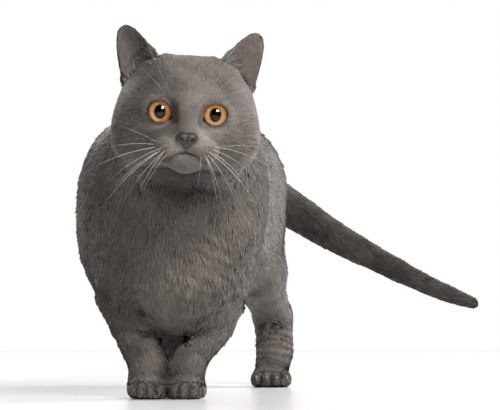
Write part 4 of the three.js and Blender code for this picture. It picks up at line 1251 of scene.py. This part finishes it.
def ripples(p):
    """Soft breaks across the coat, where it bunches as the cat steps: -1 in a trough, 1 on a crest."""
    wave = np.sin(p @ np.array([0.3, 0.1, 0.62]) + 2.4 * clouds(p, 45, 31)) * smooth(0, 0.9, clouds(p, 70, 32))
    ankle = smooth(26, 32, p[:, 2]) * smooth(66, 56, p[:, 2]) * smooth(60, 90, p[:, 1])
    return 0.7 * wave * (1 - ankle) + 2 * ankle * np.sin(p @ np.array([0.12, 0.1, 0.86]) + 0.8 * clouds(p, 20, 33))


def tuft_mesh(name, index, share):
    """One mesh of closed tufts."""
    root, normal = at_roots(index, share, co), unit(at_roots(index, share, normals))
    way, length = unit(at_roots(index, share, lie)), at_roots(index, share, hair_length) * MM
    depth, width = at_roots(index, share, coat_depth) * MM, at_roots(index, share, hair_width) * MM
    p = root / MM
    ripple = ripples(p) * smooth(2, 4, depth / MM)
    turn = np.radians(9 * clouds(p, 34, 21) + 5 * clouds(p, 8, 22) + rng.normal(0, 7, len(p)))
    side = np.cross(normal, way)
    way = way * np.cos(turn)[:, None] + side * np.sin(turn)[:, None]
    length = length * rng.uniform(0.78, 1.18, len(p))
    stray = np.where(rng.random(len(p)) < 0.02, rng.uniform(0.1, 0.3, len(p)), 0)
    height = depth * (0.9 + 0.08 * ripple + 0.03 * clouds(p, 9, 23) + rng.normal(0, 0.045, len(p)) + stray)
    height = np.maximum(height, 0.25 * MM)
    end = clumped(root, root + way * length[:, None], 0.0034, 0.22)
    tip_on, tip_normal = nearest_on_skin(end)
    sound = (np.sum(tip_normal * normal, 1) > 0.1) & (np.linalg.norm(tip_on - end, axis=1) < 0.8 * length)
    root, normal, way, length, height, width, p, ripple, end, tip_on, tip_normal, index, share = (
        each[sound] for each in
        (root, normal, way, length, height, width, p, ripple, end, tip_on, tip_normal, index, share))
    tip = tip_on + tip_normal * height[:, None]
    side = unit(np.cross(normal, way))
    half = (width * rng.uniform(0.75, 1.25, len(p)) / 2)[:, None]
    bend = root + (end - root) * 0.42 + normal * (height * 0.8)[:, None]
    rings = np.stack([root - normal * 0.4 * MM, bend + side * half, bend - side * half, tip], 1)
    over = np.stack([normal, unit(normal + side * 0.55), unit(normal - side * 0.55), unit(tip_normal + way * 0.2)], 1)
    under = unit(np.cross(rings[:, 1] - rings[:, 0], rings[:, 3] - rings[:, 0]))
    under = np.where(np.sum(under * normal, 1, keepdims=True) > 0, -under, under)
    corner_normals = np.concatenate([over[:, KITE[0]], over[:, KITE[1]], np.repeat(under[:, None], 6, axis=1)], 1)
    faces = (np.array(KITE)[None] + 4 * np.arange(len(p))[:, None, None]).reshape(-1, 3).astype(np.int32)
    mesh = bpy.data.meshes.new(name)
    mesh.vertices.add(rings.size // 3)
    mesh.loops.add(faces.size)
    mesh.polygons.add(len(faces))
    mesh.vertices.foreach_set("co", rings.astype(np.float32).ravel())
    mesh.loops.foreach_set("vertex_index", faces.ravel())
    mesh.polygons.foreach_set("loop_start", np.arange(0, faces.size, 3, dtype=np.int32))
    mesh.update(calc_edges=True)
    mesh.shade_smooth()
    size = 2.4 if "head" in name else 3.4
    locks = np.mean([clouds(p + way * step * size, size, 24) for step in (-1, -0.5, 0, 0.5, 1)], axis=0)
    # the ripples give painted shade in their troughs and painted light on their crests; locks and dice give tone at
    # random
    shade = np.clip(0.5 + (0.3 if "head" in name else 0.36) * locks + 0.1 * ripple + rng.normal(0, 0.2, len(p)), 0, 1)
    set_colours(mesh, "strand", np.tile(ALONG, len(p)), np.repeat(shade, 4), np.repeat(tone_and_shade(root), 4))
    root_uv = np.einsum("nk,nkj->nj", share, skin_uv[corners[index]])
    uv = (root_uv[:, None] + KITE_PATCH).reshape(-1, 2)
    layer = mesh.uv_layers.new(name="OFBake", do_init=False)
    layer.uv.foreach_set("vector", uv[faces.ravel()].astype(np.float32).ravel())
    mesh.normals_split_custom_set(corner_normals.reshape(-1, 3).astype(np.float32))
    piece = bpy.data.objects.new(name, mesh)
    bpy.context.collection.objects.link(piece)
    piece.data.materials.append(coat_finish)
    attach(piece, "root")
    print(f"{name}: {len(p)} tufts", end="; ")
    return len(faces)


# %% The coat's finish
def blue_coat(tree):
    """Dense plush hair: matt, with a soft sheen at the edges where light catches the tips."""
    strand = node(tree, "SeparateColor", {"Color": node(tree, "Attribute", attribute_name="strand").outputs["Color"]})
    colour = coat_colour(tree, strand.outputs["Red"], strand.outputs["Green"], strand.outputs["Blue"])
    return node(tree, "BsdfPrincipled", {"Base Color": colour, "Roughness": 0.6, "Sheen Weight": 0.12,
                                         "Sheen Roughness": 0.4, "Specular IOR Level": 0.25})


coat_finish = finish("blue_coat", blue_coat)

# %% Grow it
triangle_region = region[triangles[:, 0]]
total = 0
for k, name in enumerate(REGIONS):
    index, share = scatter(np.flatnonzero((triangle_region == k) & (crowd > 1e-4)))
    pieces = len(index) // TUFTS_PER_PIECE + 1
    order = np.argsort(a[index, 0], kind="stable")
    for part, chosen in enumerate(np.array_split(order, pieces)):
        label = f"coat_{name}" + (f"_{part + 1}" if pieces > 1 else "")
        total += tuft_mesh(label, index[chosen], share[chosen])
print()
print("coat:", total, "triangles")

# %% [markdown]
# ## The bounds of the model, without the floor and the wall
low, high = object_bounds()
